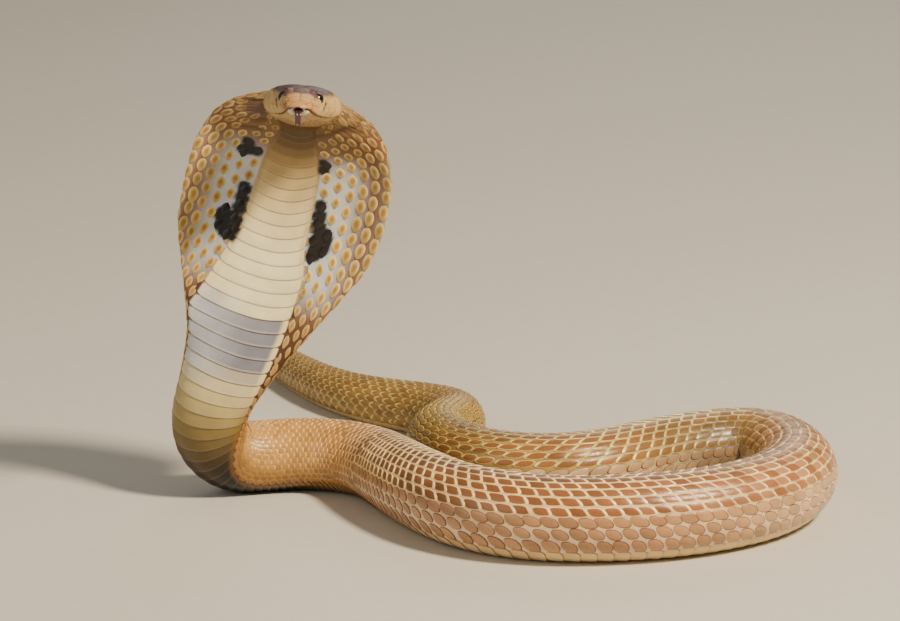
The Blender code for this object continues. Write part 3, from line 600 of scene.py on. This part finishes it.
def dorsalScales(name, start, end):
    entries = []
    for first, last, rows, widening in scaleSet["rows"]:
        middle, wide = rowPlaces(rows, widening)
        half = rows // 2
        for j in range(-half, half + 1):
            a = abs(j)
            share = np.sign(j) * middle[a]
            if first == scaleSet["hoodRows"]:
                stations, pitches = hoodStations(share, a % 2, first, last)
                numbers = np.arange(len(stations))
            else:
                numbers = np.flatnonzero((crossRows >= first) & (crossRows < last))
                pitches = profile(scaleSet["pitch"], crossRows[numbers])
                stations = crossRows[numbers] + pitches * 0.5 * (a % 2)
            for at, pitch, k in zip(stations, pitches, numbers):
                if start <= at < end:    # longer where the number of rows changes
                    near = 1.3 if min(at - first, last - at) < 0.5 and first > 5 else 1.0
                    entries.append((at, share, pitch, pitch * near, wide[a], ease((a - half + 4.5) / 4), k % 2))
    entries = np.array(entries, float)
    entries = entries[foldAmount(entries[:, 0], angleAt(entries[:, 0], entries[:, 1])) < 0.8]    # none in the folds
    length, share, pitch, size, wide, low, parity = entries.T
    length = length + pitch * dice.normal(0, scaleSet["jitter"], len(length))
    share = share + wide * dice.normal(0, scaleSet["jitter"], len(length))
    longShare, wideShare, corner, thick = (
        profile(scaleSet[name], length) for name in ("longShare", "wideShare", "corner", "thick"))
    long, wide, corner = (value * (1 - less * low) for value, less in (
        (size / 2 * longShare, 0.22), (wide * wideShare, 0.08), (corner, 0.28)))    # smaller and rounder low down
    return layScales(name, (length, share, long, wide, corner, thick, low, parity))


def throatScales(name):    # the small scales under the chin, up to the first plate
    rows = 9
    length, share = np.array([(station + 0.145 * (j % 2), (1 if j >= 0 else -1) * (2 - abs(j) / (rows + 0.5)))
                              for station in np.arange(1.98, 3.7, 0.29) for j in range(-rows, rows + 1)]).T
    keep = (length <= 3.3) | (np.abs(share) >= 1.12)
    one = np.ones(keep.sum())
    return layScales(name, (length[keep], share[keep], 0.2 * one, 0.5 / (rows + 0.5) * 1.12 * one, 2.6 * one,
                            0.005 * one, 0.3 * one, 0 * one))


# belly plates: one broad plate across the belly for each cross row, in pairs under the tail
plateSet = {
    "first": 4.3, "vent": 86.0, "across": 27, "pairAcross": 15, "along": (-1, -0.5, 0.1, 0.6, 0.92, 1.0),
    "reach": 1.03, "gap": 0.02, "thick": 0.045, "thin": ((0, 1), (60, 1), (90, 0.6), (103, 0.3)),
    "overlap": 1.36, "skirt": 0.05, "endFrom": 0.84, "pairEndFrom": 0.76, "endLong": 0.2, "blunt": 0.35,
    "middle": 0.36, "lift": 0.54, "lip": 0.22, "lipFrom": 0.88, "endDrop": 0.01, "throatDrop": 0.035,
    "sag": ((4.3, 0.5), (7, 0.45), (10, 0.33), (14, 0.27), (17, 0.2), (20.5, 0.05), (24, 0), (103, 0)),
    "tilt": ((4.3, 0.12), (16, 0.12), (20, 0), (103, 0)),
}


def onePlate(station, b, pair):    # places along and across the plate, then lengths, shares and heights
    u, b = np.meshgrid(plateSet["along"], b, indexing="ij")
    sag, tilt, thin = (profile(plateSet[name], station) for name in ("sag", "tilt", "thin"))
    end = np.clip((np.abs(b) - plateSet["pairEndFrom" if pair else "endFrom"]) / plateSet["endLong"], 0, 1)
    blunt = plateSet["blunt"] + (1 - plateSet["blunt"]) * np.sqrt(1 - end ** 2)
    half = profile(scaleSet["pitch"], station) / 2 * plateSet["overlap"] * np.where(u > 0, blunt, 0.6 + 0.4 * blunt)
    at = station + half * u + sag * (1 - b ** 2) - tilt * b
    share = (2 - np.abs(b)) * np.where(b < 0, -1, 1)
    neck = 1 - ease((station - 7) / 3)    # at the throat the ends sink into the skin
    lip = plateSet["lip"] * ease((u - plateSet["lipFrom"]) / (1 - plateSet["lipFrom"]))
    rise = plateSet["thick"] * thin * (plateSet["middle"] + plateSet["lift"] * u - lip) * (1 - neck * end)
    return u, b, at, share, rise - (plateSet["endDrop"] + plateSet["throatDrop"] * neck) * end


def plateFaces(rows, columns):    # the top, the side wall, an underside that follows the top, and the border's loop
    loop = [(0, j) for j in range(columns)] + [(i, columns - 1) for i in range(1, rows)]
    loop += [(rows - 1, j) for j in range(columns - 2, -1, -1)] + [(i, 0) for i in range(rows - 2, 0, -1)]
    loop = np.array(loop)
    ring = loop[:, 0] * columns + loop[:, 1]
    low = rows * columns + np.arange(len(loop))
    wall = np.stack([ring, np.roll(ring, -1), np.roll(low, -1), low], axis=-1)
    corner = columns + rows - 2
    front, hind = low[:columns], low[corner:columns + corner][::-1]
    under = np.stack([front[:-1], front[1:], hind[1:], hind[:-1]], axis=-1)
    right, left = [front[-1], *low[columns:corner], hind[-1]], [hind[0], *low[columns + corner:], front[0]]
    fans = [(side[0], side[i], side[i + 1]) for side in (right, left) for i in range(1, len(side) - 1)]
    return np.concatenate([gridFaces(rows, columns, False)[:, ::-1], wall, under]), np.array(fans), ring


def bellyPlates(name, start, end):
    points, quads, fans, patch, fields, offset = [], [], [], [], {}, 0
    reach, gap = plateSet["reach"], plateSet["gap"]
    for station in crossRows[(crossRows >= max(start, plateSet["first"])) & (crossRows < end)]:
        pair = station > plateSet["vent"]
        columns = plateSet["pairAcross" if pair else "across"]
        even = np.sin(np.linspace(-1, 1, columns) * 1.35) / np.sin(1.35)
        topFaces, sideFans, ring = plateFaces(len(plateSet["along"]), columns)
        spreads = [0.5 * (way * (reach + gap) + even * (reach - gap)) for way in (-1, 1)] if pair else [even * reach]
        for spread in spreads:
            hind, across, length, share, height = (
                np.append(grid, grid.ravel()[ring]) for grid in onePlate(station, spread, pair))
            height[-len(ring):] = -plateSet["skirt"]
            angle = angleAt(length, share)
            points.append(skinPlace(length, angle, height)[0])
            quads.append(topFaces + offset)
            fans.append(sideFans + offset)
            patch.append(unwrap(station, 1.5 * np.sign(spread.sum() + 0.01), hind, across))
            new = {"along": np.full(len(length), station), "edge": np.abs(across), "across": across, "hind": hind,
                   "black": markAmount(length, angle)[0], "fold": foldAmount(length, angle)}
            for field, values in new.items():
                fields.setdefault(field, []).append(values)
            offset += len(length)
    fields = {field: np.concatenate(values) for field, values in fields.items()}
    return makeMesh(name, *(np.concatenate(part) for part in (points, quads, fans)), fields, np.concatenate(patch))


# where each piece of the coat starts and ends, and the part's finish that it stands for
coat = {
    "hood_scales": (0, 18.5, "hood_skin"), "neck_scales": (18.5, 35, "body_skin"),
    "coil_scales": (35, 56, "body_skin"), "bend_scales": (56, 76, "body_skin"), "tail_scales": (76, 103, "tail_skin"),
}
plates = {
    "neck_plates": (0, 26, "hood_skin"), "belly_plates": (26, 86, "body_skin"), "tail_plates": (86, 103, "tail_skin"),
}
scalePieces = [(dorsalScales(name, start, end), slot) for name, (start, end, slot) in coat.items()]
scalePieces.append((throatScales("throat_scales"), "hood_skin"))
platePieces = [(bellyPlates(name, start, end), slot) for name, (start, end, slot) in plates.items()]
for piece, _ in scalePieces + platePieces:
    print(piece.name, sum(len(face.vertices) - 2 for face in piece.data.polygons), "triangles")


# materials
def colour(*shade):    # screen values 0 to 255 to the renderer's own
    shade = np.array(shade) / 255
    return (*np.where(shade <= 0.04045, shade / 12.92, ((shade + 0.055) / 1.055) ** 2.4), 1.0)


def node(tree, kind, label="", inputs=(), **settings):    # inputs are (name or number, what goes in)
    made = tree.nodes.new(kind)
    made.label = label
    for name, value in settings.items():
        setattr(made, name, value)
    for name, value in inputs:
        plug(made.inputs[name], value)
    return made


def plug(socket, value):    # a number, a shade or another node's output
    if isinstance(value, Wire):
        socket.id_data.links.new(value.socket, socket)
    else:
        socket.default_value = colour(*value) if isinstance(value, tuple) else value


class Wire:    # a node's output that can be written into sums and products like a number
    def __init__(self, socket):
        self.socket, self.tree = socket, socket.id_data

    def maths(self, operation, other=0.0, clamp=False, turned=False):
        pair = enumerate((other, self) if turned else (self, other))
        made = node(self.tree, "ShaderNodeMath", operation.lower(), pair, operation=operation, use_clamp=clamp)
        return Wire(made.outputs[0])

    def __add__(self, other):
        return self.maths("ADD", other)

    def __sub__(self, other):
        return self.maths("SUBTRACT", other)

    def __rsub__(self, other):
        return self.maths("SUBTRACT", other, turned=True)

    def __mul__(self, other):
        return self.maths("MULTIPLY", other)

    def span(self, low, high, outLow=0.0, outHigh=1.0):    # a smooth step from one value to the other
        values = enumerate((self, low, high, outLow, outHigh))
        made = node(self.tree, "ShaderNodeMapRange", "span", values, interpolation_type="SMOOTHSTEP")
        return Wire(made.outputs["Result"])

    def band(self, start, full, fade, end):    # up from start to full and down again from fade to end
        return self.span(start, full) * self.span(end, fade)

    def ramp(self, stops, label):    # stops are (place, red, green, blue)
        made = node(self.tree, "ShaderNodeValToRGB", label, [("Fac", self)])
        elements = made.color_ramp.elements
        elements.remove(elements[1])
        for i, (place, *shade) in enumerate(stops):
            element = elements.new(place) if i else elements[0]
            element.position, element.color = place, colour(*shade)
        return Wire(made.outputs["Color"])

    def tones(self, name):    # a ramp whose places are lengths from the snout in cm
        return self.maths("DIVIDE", total).ramp([(place / total, *shade) for place, *shade in tones[name]], name)

    def brighten(self, value, label):
        made = node(self.tree, "ShaderNodeHueSaturation", label, (("Color", self), ("Value", value)))
        return Wire(made.outputs["Color"])


def mix(factor, first, second):
    tree = next(value.tree for value in (factor, first, second) if isinstance(value, Wire))
    made = node(tree, "ShaderNodeMix", "mix", ((0, factor), (6, first), (7, second)), data_type="RGBA")
    return Wire(made.outputs[2])


def makeGroup(name, inputs, outputs, build):
    group = bpy.data.node_groups.new(name, "ShaderNodeTree")
    for label, value in inputs.items():
        kind = "NodeSocketColor" if isinstance(value, tuple) else "NodeSocketFloat"
        plug(group.interface.new_socket(name=label, in_out="INPUT", socket_type=kind), value)
    for label in outputs:
        kind = "NodeSocketColor" if label == "Color" else "NodeSocketFloat"
        group.interface.new_socket(name=label, in_out="OUTPUT", socket_type=kind)
    start, end = node(group, "NodeGroupInput"), node(group, "NodeGroupOutput")
    made = build({label: Wire(start.outputs[label]) for label in inputs})
    for label, wire in zip(outputs, made):
        plug(end.inputs[label], wire)
    return group


def useGroup(tree, group, **values):
    made = node(tree, "ShaderNodeGroup", group.name, values.items(), node_tree=group)
    return [Wire(socket) for socket in made.outputs]


def mottlePaint(inputs):    # uneven pigment and fine grain, laid over any colour
    tree, noise = inputs["Color"].tree, []
    for name, detail in (("Blotch", 3.0), ("Grain", 4.0)):
        place = Wire(node(tree, "ShaderNodeTexCoord").outputs["Object"])
        values = ("Vector", place), ("Scale", inputs[name + " Scale"]), ("Detail", detail)
        noise.append(Wire(node(tree, "ShaderNodeTexNoise", name.lower(), values).outputs["Fac"]))
    swing = (noise[0] - 0.5) * 2.0 + (noise[1] - 0.5)
    return inputs["Color"].brighten(swing * inputs["Amount"] + 1.0, "tone"), noise[1]


def markPaint(inputs):    # the black and pale marks that skin and scales share
    pale = mix(inputs["Pale"], inputs["Color"], inputs["Pale Color"])
    return (mix(inputs["Black"], pale, inputs["Black Color"]),)


mottle = makeGroup(
    "pigmentMottle", {"Color": (128, 128, 128), "Amount": 0.3, "Blotch Scale": 120.0, "Grain Scale": 1500.0},
    ("Color", "Grain"), mottlePaint)
markTint = makeGroup(
    "hoodMarkings", {"Color": (128, 128, 128), "Black": 0.0, "Pale": 0.0, "Black Color": (24, 20, 20),
                     "Pale Color": (232, 218, 186)},
    ("Color",), markPaint)


def finishMaterial(name, paint, uneven, rough, coatWeight=0.0, specular=0.5, relief=0.0, coatRough=0.25):
    material = bpy.data.materials.new(name)
    material.use_nodes = True
    tree = material.node_tree
    shader = tree.nodes["Principled BSDF"].inputs
    read = lambda field: Wire(node(tree, "ShaderNodeAttribute", field, attribute_name=field).outputs["Fac"])
    shade, grain = useGroup(tree, mottle, Color=paint(read), Amount=uneven)
    if isinstance(rough, tuple):
        rough = grain.span(0.3, 0.7, *rough)
    for socket, value in (("Base Color", shade), ("Roughness", rough), ("Coat Weight", coatWeight),
                          ("Coat Roughness", coatRough), ("Specular IOR Level", specular)):
        plug(shader[socket], value)
    if relief:
        values = ("Distance", relief), ("Strength", 0.6), ("Height", grain)
        plug(shader["Normal"], Wire(node(tree, "ShaderNodeBump", "fine relief", values).outputs["Normal"]))
    return material


# tones: what the keeper would repaint, as (length from the snout, red, green, blue) along the animal
tones = {
    "scale": ((3.0, 176, 140, 92), (4.6, 118, 84, 42), (6.5, 150, 114, 52), (9.5, 166, 124, 52),
              (12, 162, 122, 54), (14.5, 172, 136, 82), (17.5, 150, 108, 56), (21, 196, 144, 72),
              (25.5, 182, 124, 60), (27, 138, 92, 54), (30, 118, 74, 44), (38, 140, 88, 50), (46, 156, 100, 60),
              (52, 156, 104, 52), (57, 146, 102, 46), (62, 150, 96, 50), (66, 118, 82, 36), (69, 164, 130, 50),
              (71, 154, 120, 44), (73, 140, 104, 54), (103, 138, 100, 52)),
    "edge": ((3.0, 184, 150, 100), (4.6, 176, 146, 88), (6.5, 222, 198, 128), (11.5, 236, 210, 134),
             (14, 196, 160, 104), (17.5, 178, 138, 76), (21, 236, 200, 130), (26, 232, 200, 140),
             (31, 240, 208, 146), (48, 250, 222, 160), (58, 242, 222, 138), (64, 236, 216, 138),
             (66.5, 208, 182, 92), (69, 204, 176, 78), (71, 202, 174, 78), (74, 206, 182, 102),
             (103, 206, 180, 104)),
    "skin": ((4.4, 112, 84, 52), (6.0, 120, 92, 66), (7.4, 188, 192, 198), (11.6, 192, 196, 202),
             (12.9, 112, 78, 50), (14, 84, 54, 32), (17, 84, 56, 30), (21, 182, 132, 66), (30, 222, 188, 132),
             (48, 226, 192, 138), (58, 214, 188, 106), (62.5, 170, 140, 74), (67, 112, 84, 38), (71, 96, 68, 28),
             (80, 176, 146, 76), (103, 176, 144, 84)),
    # the first plates under the jaw, up to 5.6, are their own yellow-brown darkened with the head's painted shadow
    "plate": ((4.3, 66, 44, 20), (5.6, 104, 78, 38), (6.6, 166, 136, 82), (8.4, 220, 196, 138),
              (10.5, 252, 238, 188), (12.98, 252, 238, 188), (13.03, 146, 144, 152), (15.2, 122, 120, 134),
              # from 17.6 to 22.5 the plates are their own dark olive, darkened to near black with painted shadow where
              # the neck bends down onto the floor
              (15.55, 200, 188, 156), (16.6, 200, 180, 120), (17.6, 134, 112, 60), (18.6, 66, 50, 22),
              (19.4, 24, 16, 6), (22.5, 26, 17, 6), (25, 160, 120, 64), (30, 230, 200, 146), (60, 230, 204, 148),
              (86, 222, 194, 130), (103, 206, 178, 120)),
    # the first plate ends under the jaw carry the same painted shadow of the head over their yellow-brown
    "plateEnd": ((4.3, 66, 46, 24), (6.5, 152, 122, 74), (9, 206, 182, 132), (10.5, 226, 206, 156),
                 # from 17.4 to 22 the plate ends carry the same painted shadow over their olive
                 (11.5, 244, 224, 166), (15.8, 236, 216, 160), (17.4, 140, 114, 60), (18.8, 92, 64, 30),
                 (22, 128, 88, 44), (25, 178, 132, 70), (30, 226, 190, 136), (103, 206, 176, 114)),
}


def scaleColour(read):
    length, hind, parity, low, out = (read(field) for field in ("along", "hind", "parity", "low", "edge"))
    body = length.span(15, 24)
    start = body * 0.44 + 0.3
    edge = (out - start).maths("DIVIDE", body * -0.11 + 1.0 - start, clamp=True)
    # on the coils the ends of the scales are paler than their sides, which draws slanting lines
    trunk = length.band(24, 30, 66, 70)
    slanted = length.band(55, 59, 66, 68)
    edge = (edge * (1.0 - slanted * 0.35)).maths("MAXIMUM", hind.span(0.62, 0.76) * trunk)
    # on the tail the pale ends are hollow, so that they meet in zigzag bands
    aside = (out * out - hind * hind).maths("MAXIMUM").maths("SQRT")
    edge = mix(length.span(70, 74), edge, (hind + aside * 0.62).span(0.6, 0.8))
    dashed = length.band(18.5, 20.5, 25, 28)
    edge = mix(dashed * 0.8, edge, hind.span(0.52, 0.75))
    # round the right bend the cross rows are brown and cream by turns
    middle, rim = length.tones("scale"), length.tones("edge")
    banded = length.band(38, 46, 54, 57)
    middle, rim = mix(banded * (1.0 - parity) * 0.14, middle, rim), mix(banded * parity * 0.7225, rim, middle)
    # the scales at the foot of the neck are plainer, and on the lowest rows tan with a thin dark outline
    smooth = low.span(0.1, 0.9) * length.band(18, 19, 25, 27) * 0.8
    smooth = smooth.maths("MAXIMUM", (1.0 - body) * hind.span(0.0, 0.9) * 0.65)
    edge = edge * (1.0 - smooth)
    middle = mix(low.span(0.25, 0.8) * trunk, middle, mix(length.span(40, 48), (178, 132, 92), (204, 166, 124)))
    # the low rows at the foot of the neck are darker: their own olive-brown with painted shade where the neck bends
    # down onto the floor
    foot = low * length.band(17, 18.5, 24, 26) * 0.55
    middle, rim = mix(foot, middle, (122, 86, 44)), mix(foot, rim, (134, 96, 52))
    lowest = low.span(0.45, 0.65) * trunk
    rim = mix(lowest, rim, (112, 66, 48))
    edge = mix(lowest, edge, out.span(0.84, 0.95))
    # the top of the back is greyer
    middle = mix(read("round").span(0.3, 0.02) * trunk * 0.55, middle, (96, 76, 68))
    shade = mix(edge, middle, rim)
    # painted shade in the jaw folds
    shade = mix(read("fold") * 0.7, shade, (100, 70, 42))
    # painted shade on the inside of the tight bend
    shade = mix(read("crease") * 0.72, shade, (88, 70, 42))
    shade = shade.brighten(read("pick").span(0, 1, 0.86, 1.14), "each scale")
    return useGroup(shade.tree, markTint, Color=shade, Black=read("black"), Pale=read("pale"))[0]


def plateColour(read):
    length, across, edge, hind = (read(field) for field in ("along", "across", "edge", "hind"))
    strong = length.band(12.2, 12.8, 15.6, 16.2)    # the blue-grey band
    middle = mix(strong * across.span(0.3, -0.9, 0.0, 0.7), length.tones("plate"), (190, 194, 202))
    left = across.span(0.0, -0.1, 0.0, 0.75) * strong
    shade = mix(edge.span(0.78, 0.92).maths("SUBTRACT", left, clamp=True), middle, length.tones("plateEnd"))
    # a pale rim along each plate's raised hind edge is a painted highlight
    rim = hind.span(0.66, 0.88) * length.span(5, 12, 0.06, 0.3) * length.span(15.8, 17.5, 1.0, 0.12)
    shade = mix(rim, shade, (244, 224, 200))
    # a thin dark line follows each plate's hind edge, faint on the cream plates
    line = hind.span(0.91, 0.99).maths("MAXIMUM", edge.span(0.975, 1.01))
    shade = mix(line * (strong * 0.38 + 0.62), shade, (78, 48, 46))
    # painted shade in the jaw folds
    shade = mix(read("fold") * 0.6, shade, (74, 46, 28))
    return useGroup(shade.tree, markTint, Color=shade, Black=read("black"))[0]


def skinColour(read):
    length, facing, around = read("along"), read("facing"), read("round")
    # towards the hood's outer edge the skin is red-brown, and pale again in a narrow band along the edge itself
    bare = mix(around.span(0.86, 0.66) * length.band(4.2, 5.5, 13, 17), length.tones("skin"), (122, 74, 46))
    verge = around.band(0.46, 0.54, 0.6, 0.7) * length.band(5.5, 7.0, 10.5, 12.5)
    bare = mix(verge * 0.65, bare, (196, 184, 168))
    bare = mix(around.span(1.0, 1.05), bare, mix(0.35, length.tones("plate"), (110, 76, 54)))
    bare = mix(around.band(0.62, 0.78, 1.0, 1.05) * length.band(24, 30, 66, 70), bare, (226, 196, 160))
    # painted shade in the jaw folds
    bare = mix(read("fold") * 0.8, bare, (98, 68, 42))
    # painted shade on the inside of the tight bend, mauve-blue on the skin for a painted reflection
    bare = mix(read("crease") * 0.85, bare, (88, 76, 90))
    # the head: peach in front and yellow-tan on the cheeks; the mauve on the crown is a painted sky reflection over
    # that colour
    cheek = mix(length.span(0.3, 1.5), (186, 136, 84), (200, 166, 108))
    crownReflection = mix(length.span(1.0, 2.2), (92, 63, 63), (60, 42, 44))
    head = mix(facing.span(0.35, 0.7) * length.span(0.66, 1.22), cheek, crownReflection)
    head = mix(facing.span(-0.5, -0.85), head, (184, 156, 112))
    # painted shade under the back of the jaw
    head = mix(length.span(2.6, 3.6) * facing.span(-0.2, -0.6), head, (112, 84, 50))
    head = mix((1.0 - read("upper")) * length.span(0.3, 0.18) * 0.8, head, (238, 226, 196))
    head = mix(read("suture") * 0.55, head, (96, 62, 46))
    # the smudge under the eye is the real dark mark; the near-black in the eye sockets, nostrils, mouth slit and
    # rostral notch is painted shade in these hollows
    for field, shade in (("smudge", (60, 34, 20)), ("socket", (36, 24, 20)), ("nostril", (36, 20, 18)),
                         ("mouth", (74, 36, 30)), ("notch", (76, 16, 22))):
        head = mix(read(field), head, shade)
    shade = mix(length.span(2.9, 3.4), head, bare)
    return useGroup(shade.tree, markTint, Color=shade, Black=read("black"), Pale=read("pale"))[0]


def eyeColour(read):
    pupil, iris = eye["pupil"], eye["iris"]
    return read("fromPupil").ramp(((0, 6, 5, 5), (pupil, 7, 6, 6), (pupil + 0.03, 46, 28, 18), (iris, 30, 20, 14),
                                   (iris + 0.08, 14, 10, 9)), "pupil and iris")


def tongueColour(read):
    return read("tip").ramp(((0, 44, 14, 20), (0.3, 62, 32, 42), (0.7, 78, 50, 62), (1, 60, 40, 48)), "tongue")


skinMaterial = finishMaterial("snake skin", skinColour, 0.24, (0.36, 0.52), 0.0, 0.4, 0.00006)
scaleMaterial = finishMaterial("snake scales", scaleColour, 0.34, (0.25, 0.4), 0.1, 0.38, 0.00006)
plateMaterial = finishMaterial("belly plates", plateColour, 0.24, (0.28, 0.4), 0.1, 0.38, 0.00004)
eyeMaterial = finishMaterial("wet eye", eyeColour, 0.3, 0.14, 0.4, coatRough=0.06)
tongueMaterial = finishMaterial("moist tongue", tongueColour, 0.3, 0.25, 0.5, relief=0.00005)
print("materials")


def makeEye(side, name):
    at, rows, columns = eye["at"][0], eye["rows"], eye["columns"]
    _, left, back = spineFrame(at)
    arc = np.linspace(0, pi, 400)
    distance, _ = headArc(np.full(400, at), arc)
    place, out = skinPlace(at, np.interp(shields["eyeArc"], distance, arc) * side, -eye["sunk"])
    direction = Vector(out + left * side * 0.6 + np.cross(left, back) * 0.25)
    polar, spin = np.meshgrid(np.linspace(0, pi, rows), np.arange(columns) / columns * 2 * pi, indexing="ij")
    ball = np.stack([np.sin(polar) * np.cos(spin), np.sin(polar) * np.sin(spin), np.cos(polar)], axis=-1)
    points = ball * eye["radius"] * cm @ np.array(direction.to_track_quat("Z", "Y").to_matrix()).T + place
    fields = {"fromPupil": np.sin(polar) + 2.0 * (np.cos(polar) < 0)}
    return makeMesh(name, points, gridFaces(rows, columns, True), [], fields)


eyes = [makeEye(1, "eye_left_ball"), makeEye(-1, "eye_right_ball")]

tongueSet = {"at": 0.1, "high": -0.07, "wide": 0.13, "thick": 0.035, "out": 0.26, "hang": 0.6, "fork": 0.82,
             "splay": 0.035, "sides": 14, "steps": 30}


def tonguePath(t):    # from inside the mouth over the lip and down
    centre, left, back = spineFrame(tongueSet["at"])
    forward = tongueSet["out"] * np.sin(min(t * 1.9, 1) * pi / 2) - 0.12 * (1 - t)
    path = centre + back * tongueSet["high"] + np.cross(left, back) * forward
    return path - np.array([0, 0, tongueSet["hang"]]) * t ** 1.5, left


def makeTongue():    # two halves side by side that part only at the tip
    sides, steps, fork = tongueSet["sides"], np.linspace(0, 1, tongueSet["steps"]), tongueSet["fork"]
    turn = np.arange(sides) / sides * 2 * pi
    points, quads, caps = [], [], []
    for half in (-1, 1):
        offset = len(points) * sides
        quads.append(gridFaces(len(steps), sides, True) + offset)
        for first in (offset, offset + (len(steps) - 1) * sides):
            caps += [(first, first + i, first + i + 1) for i in range(1, sides - 1)]
        for t in steps:
            middle, left = tonguePath(t)
            width = tongueSet["wide"] * (1 - 0.28 * t)
            wide = width * 0.54 * (1 - 0.85 * ease((t - fork) / (1 - fork)))
            aside = width * 0.5 + tongueSet["splay"] * ease((t - fork) / 0.18)
            normal = unit(np.cross(left, tonguePath(t + 0.02)[0] - middle))
            ring = middle + left * (half * aside + np.cos(turn)[:, None] * wide)
            points.append(ring + normal * (np.sin(turn) * tongueSet["thick"])[:, None])
    fields = {"tip": np.tile(np.repeat(steps, sides), 2)}
    return makeMesh("tongue_fork", (np.concatenate(points) + shift) * cm, np.concatenate(quads), caps, fields)


tongue = makeTongue()


def dress(piece, material, slot, *nodes):
    piece.data.materials.append(material)
    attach(piece, "root")
    if nodes:
        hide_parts(*nodes)


bodyNodes = ["body_" + str(i) for i in range(1, 8)]
dress(skin, skinMaterial, "head_skin", "head", "hood", "neck", *bodyNodes, "tail_1", "tail_2", "tail_tip")
for piece, slot in scalePieces:
    dress(piece, scaleMaterial, slot)
for piece, slot in platePieces:
    dress(piece, plateMaterial, slot)
dress(eyes[0], eyeMaterial, "eye", "eye_left")
dress(eyes[1], eyeMaterial, "eye", "eye_right")
dress(tongue, tongueMaterial, "tongue", "tongue")
print("dressed")

# floor, light and camera
studio = {
    "floor": (204, 199, 190), "floorHalf": 6.0, "floorDrop": 0.0002,
    "world": (214, 206, 192), "worldStrength": 0.36, "aim": (0, 0, 0.05),
    "lights": {    # place, size, power and shade
        "key": ((0.85, -0.8, 1.25), 0.28, 48.0, (255, 238, 208)),
        "fill": ((-1.2, -0.9, 0.7), 1.2, 6.0, (240, 238, 232)),
        "rim": ((0.3, 1.4, 0.9), 0.9, 4.0, (255, 250, 240)),
    },
    "camera": (9.307692, -144.628438, 40.357132), "down": 13.0, "focal": 3900, "imageWide": 900, "sensor": 36.0,
}


def addToScene(name, data, at):
    holder = bpy.data.objects.new(name, data)
    holder.location = at
    bpy.context.collection.objects.link(holder)
    return holder


def makeStudio():
    half = studio["floorHalf"]
    corners = [(x, y, 0) for x, y in ((-half, -half), (half, -half), (half, half), (-half, half))]
    floor = makeMesh("floor", corners, [(0, 1, 2, 3)], [], {})
    floor.location.z = -studio["floorDrop"]
    floor.data.materials.append(
        finishMaterial("pale floor", lambda read: studio["floor"], 0.04, 0.75, 0.0, 0.25, 0.0001))
    floor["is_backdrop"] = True
    for name, (at, size, power, shade) in studio["lights"].items():
        lamp = bpy.data.lights.new(name, "AREA")
        lamp.shape, lamp.size, lamp.energy, lamp.color = "DISK", size, power, colour(*shade)[:3]
        aim = Vector(studio["aim"]) - Vector(at)
        addToScene(name, lamp, at).rotation_euler = aim.to_track_quat("-Z", "Y").to_euler()
    world = bpy.data.worlds.new("studio")
    world.use_nodes = True
    sky = world.node_tree.nodes["Background"].inputs
    sky["Color"].default_value = colour(*studio["world"])
    sky["Strength"].default_value = studio["worldStrength"]
    bpy.context.scene.world = world


def makeCamera():
    lens = bpy.data.cameras.new("camera")
    lens.sensor_width = studio["sensor"]
    lens.lens = studio["sensor"] * studio["focal"] / studio["imageWide"]
    lens.clip_end = 50
    camera = addToScene("camera", lens, (np.array(studio["camera"]) + shift) * cm)
    camera.rotation_euler = (radians(90 - studio["down"]), 0, 0)
    bpy.context.scene.camera = camera


makeStudio()
makeCamera()
print("studio")

plain = lambda box: [list(map(float, corner)) for corner in box]
{"cad": plain(cadBox), "visual": plain(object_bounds())}
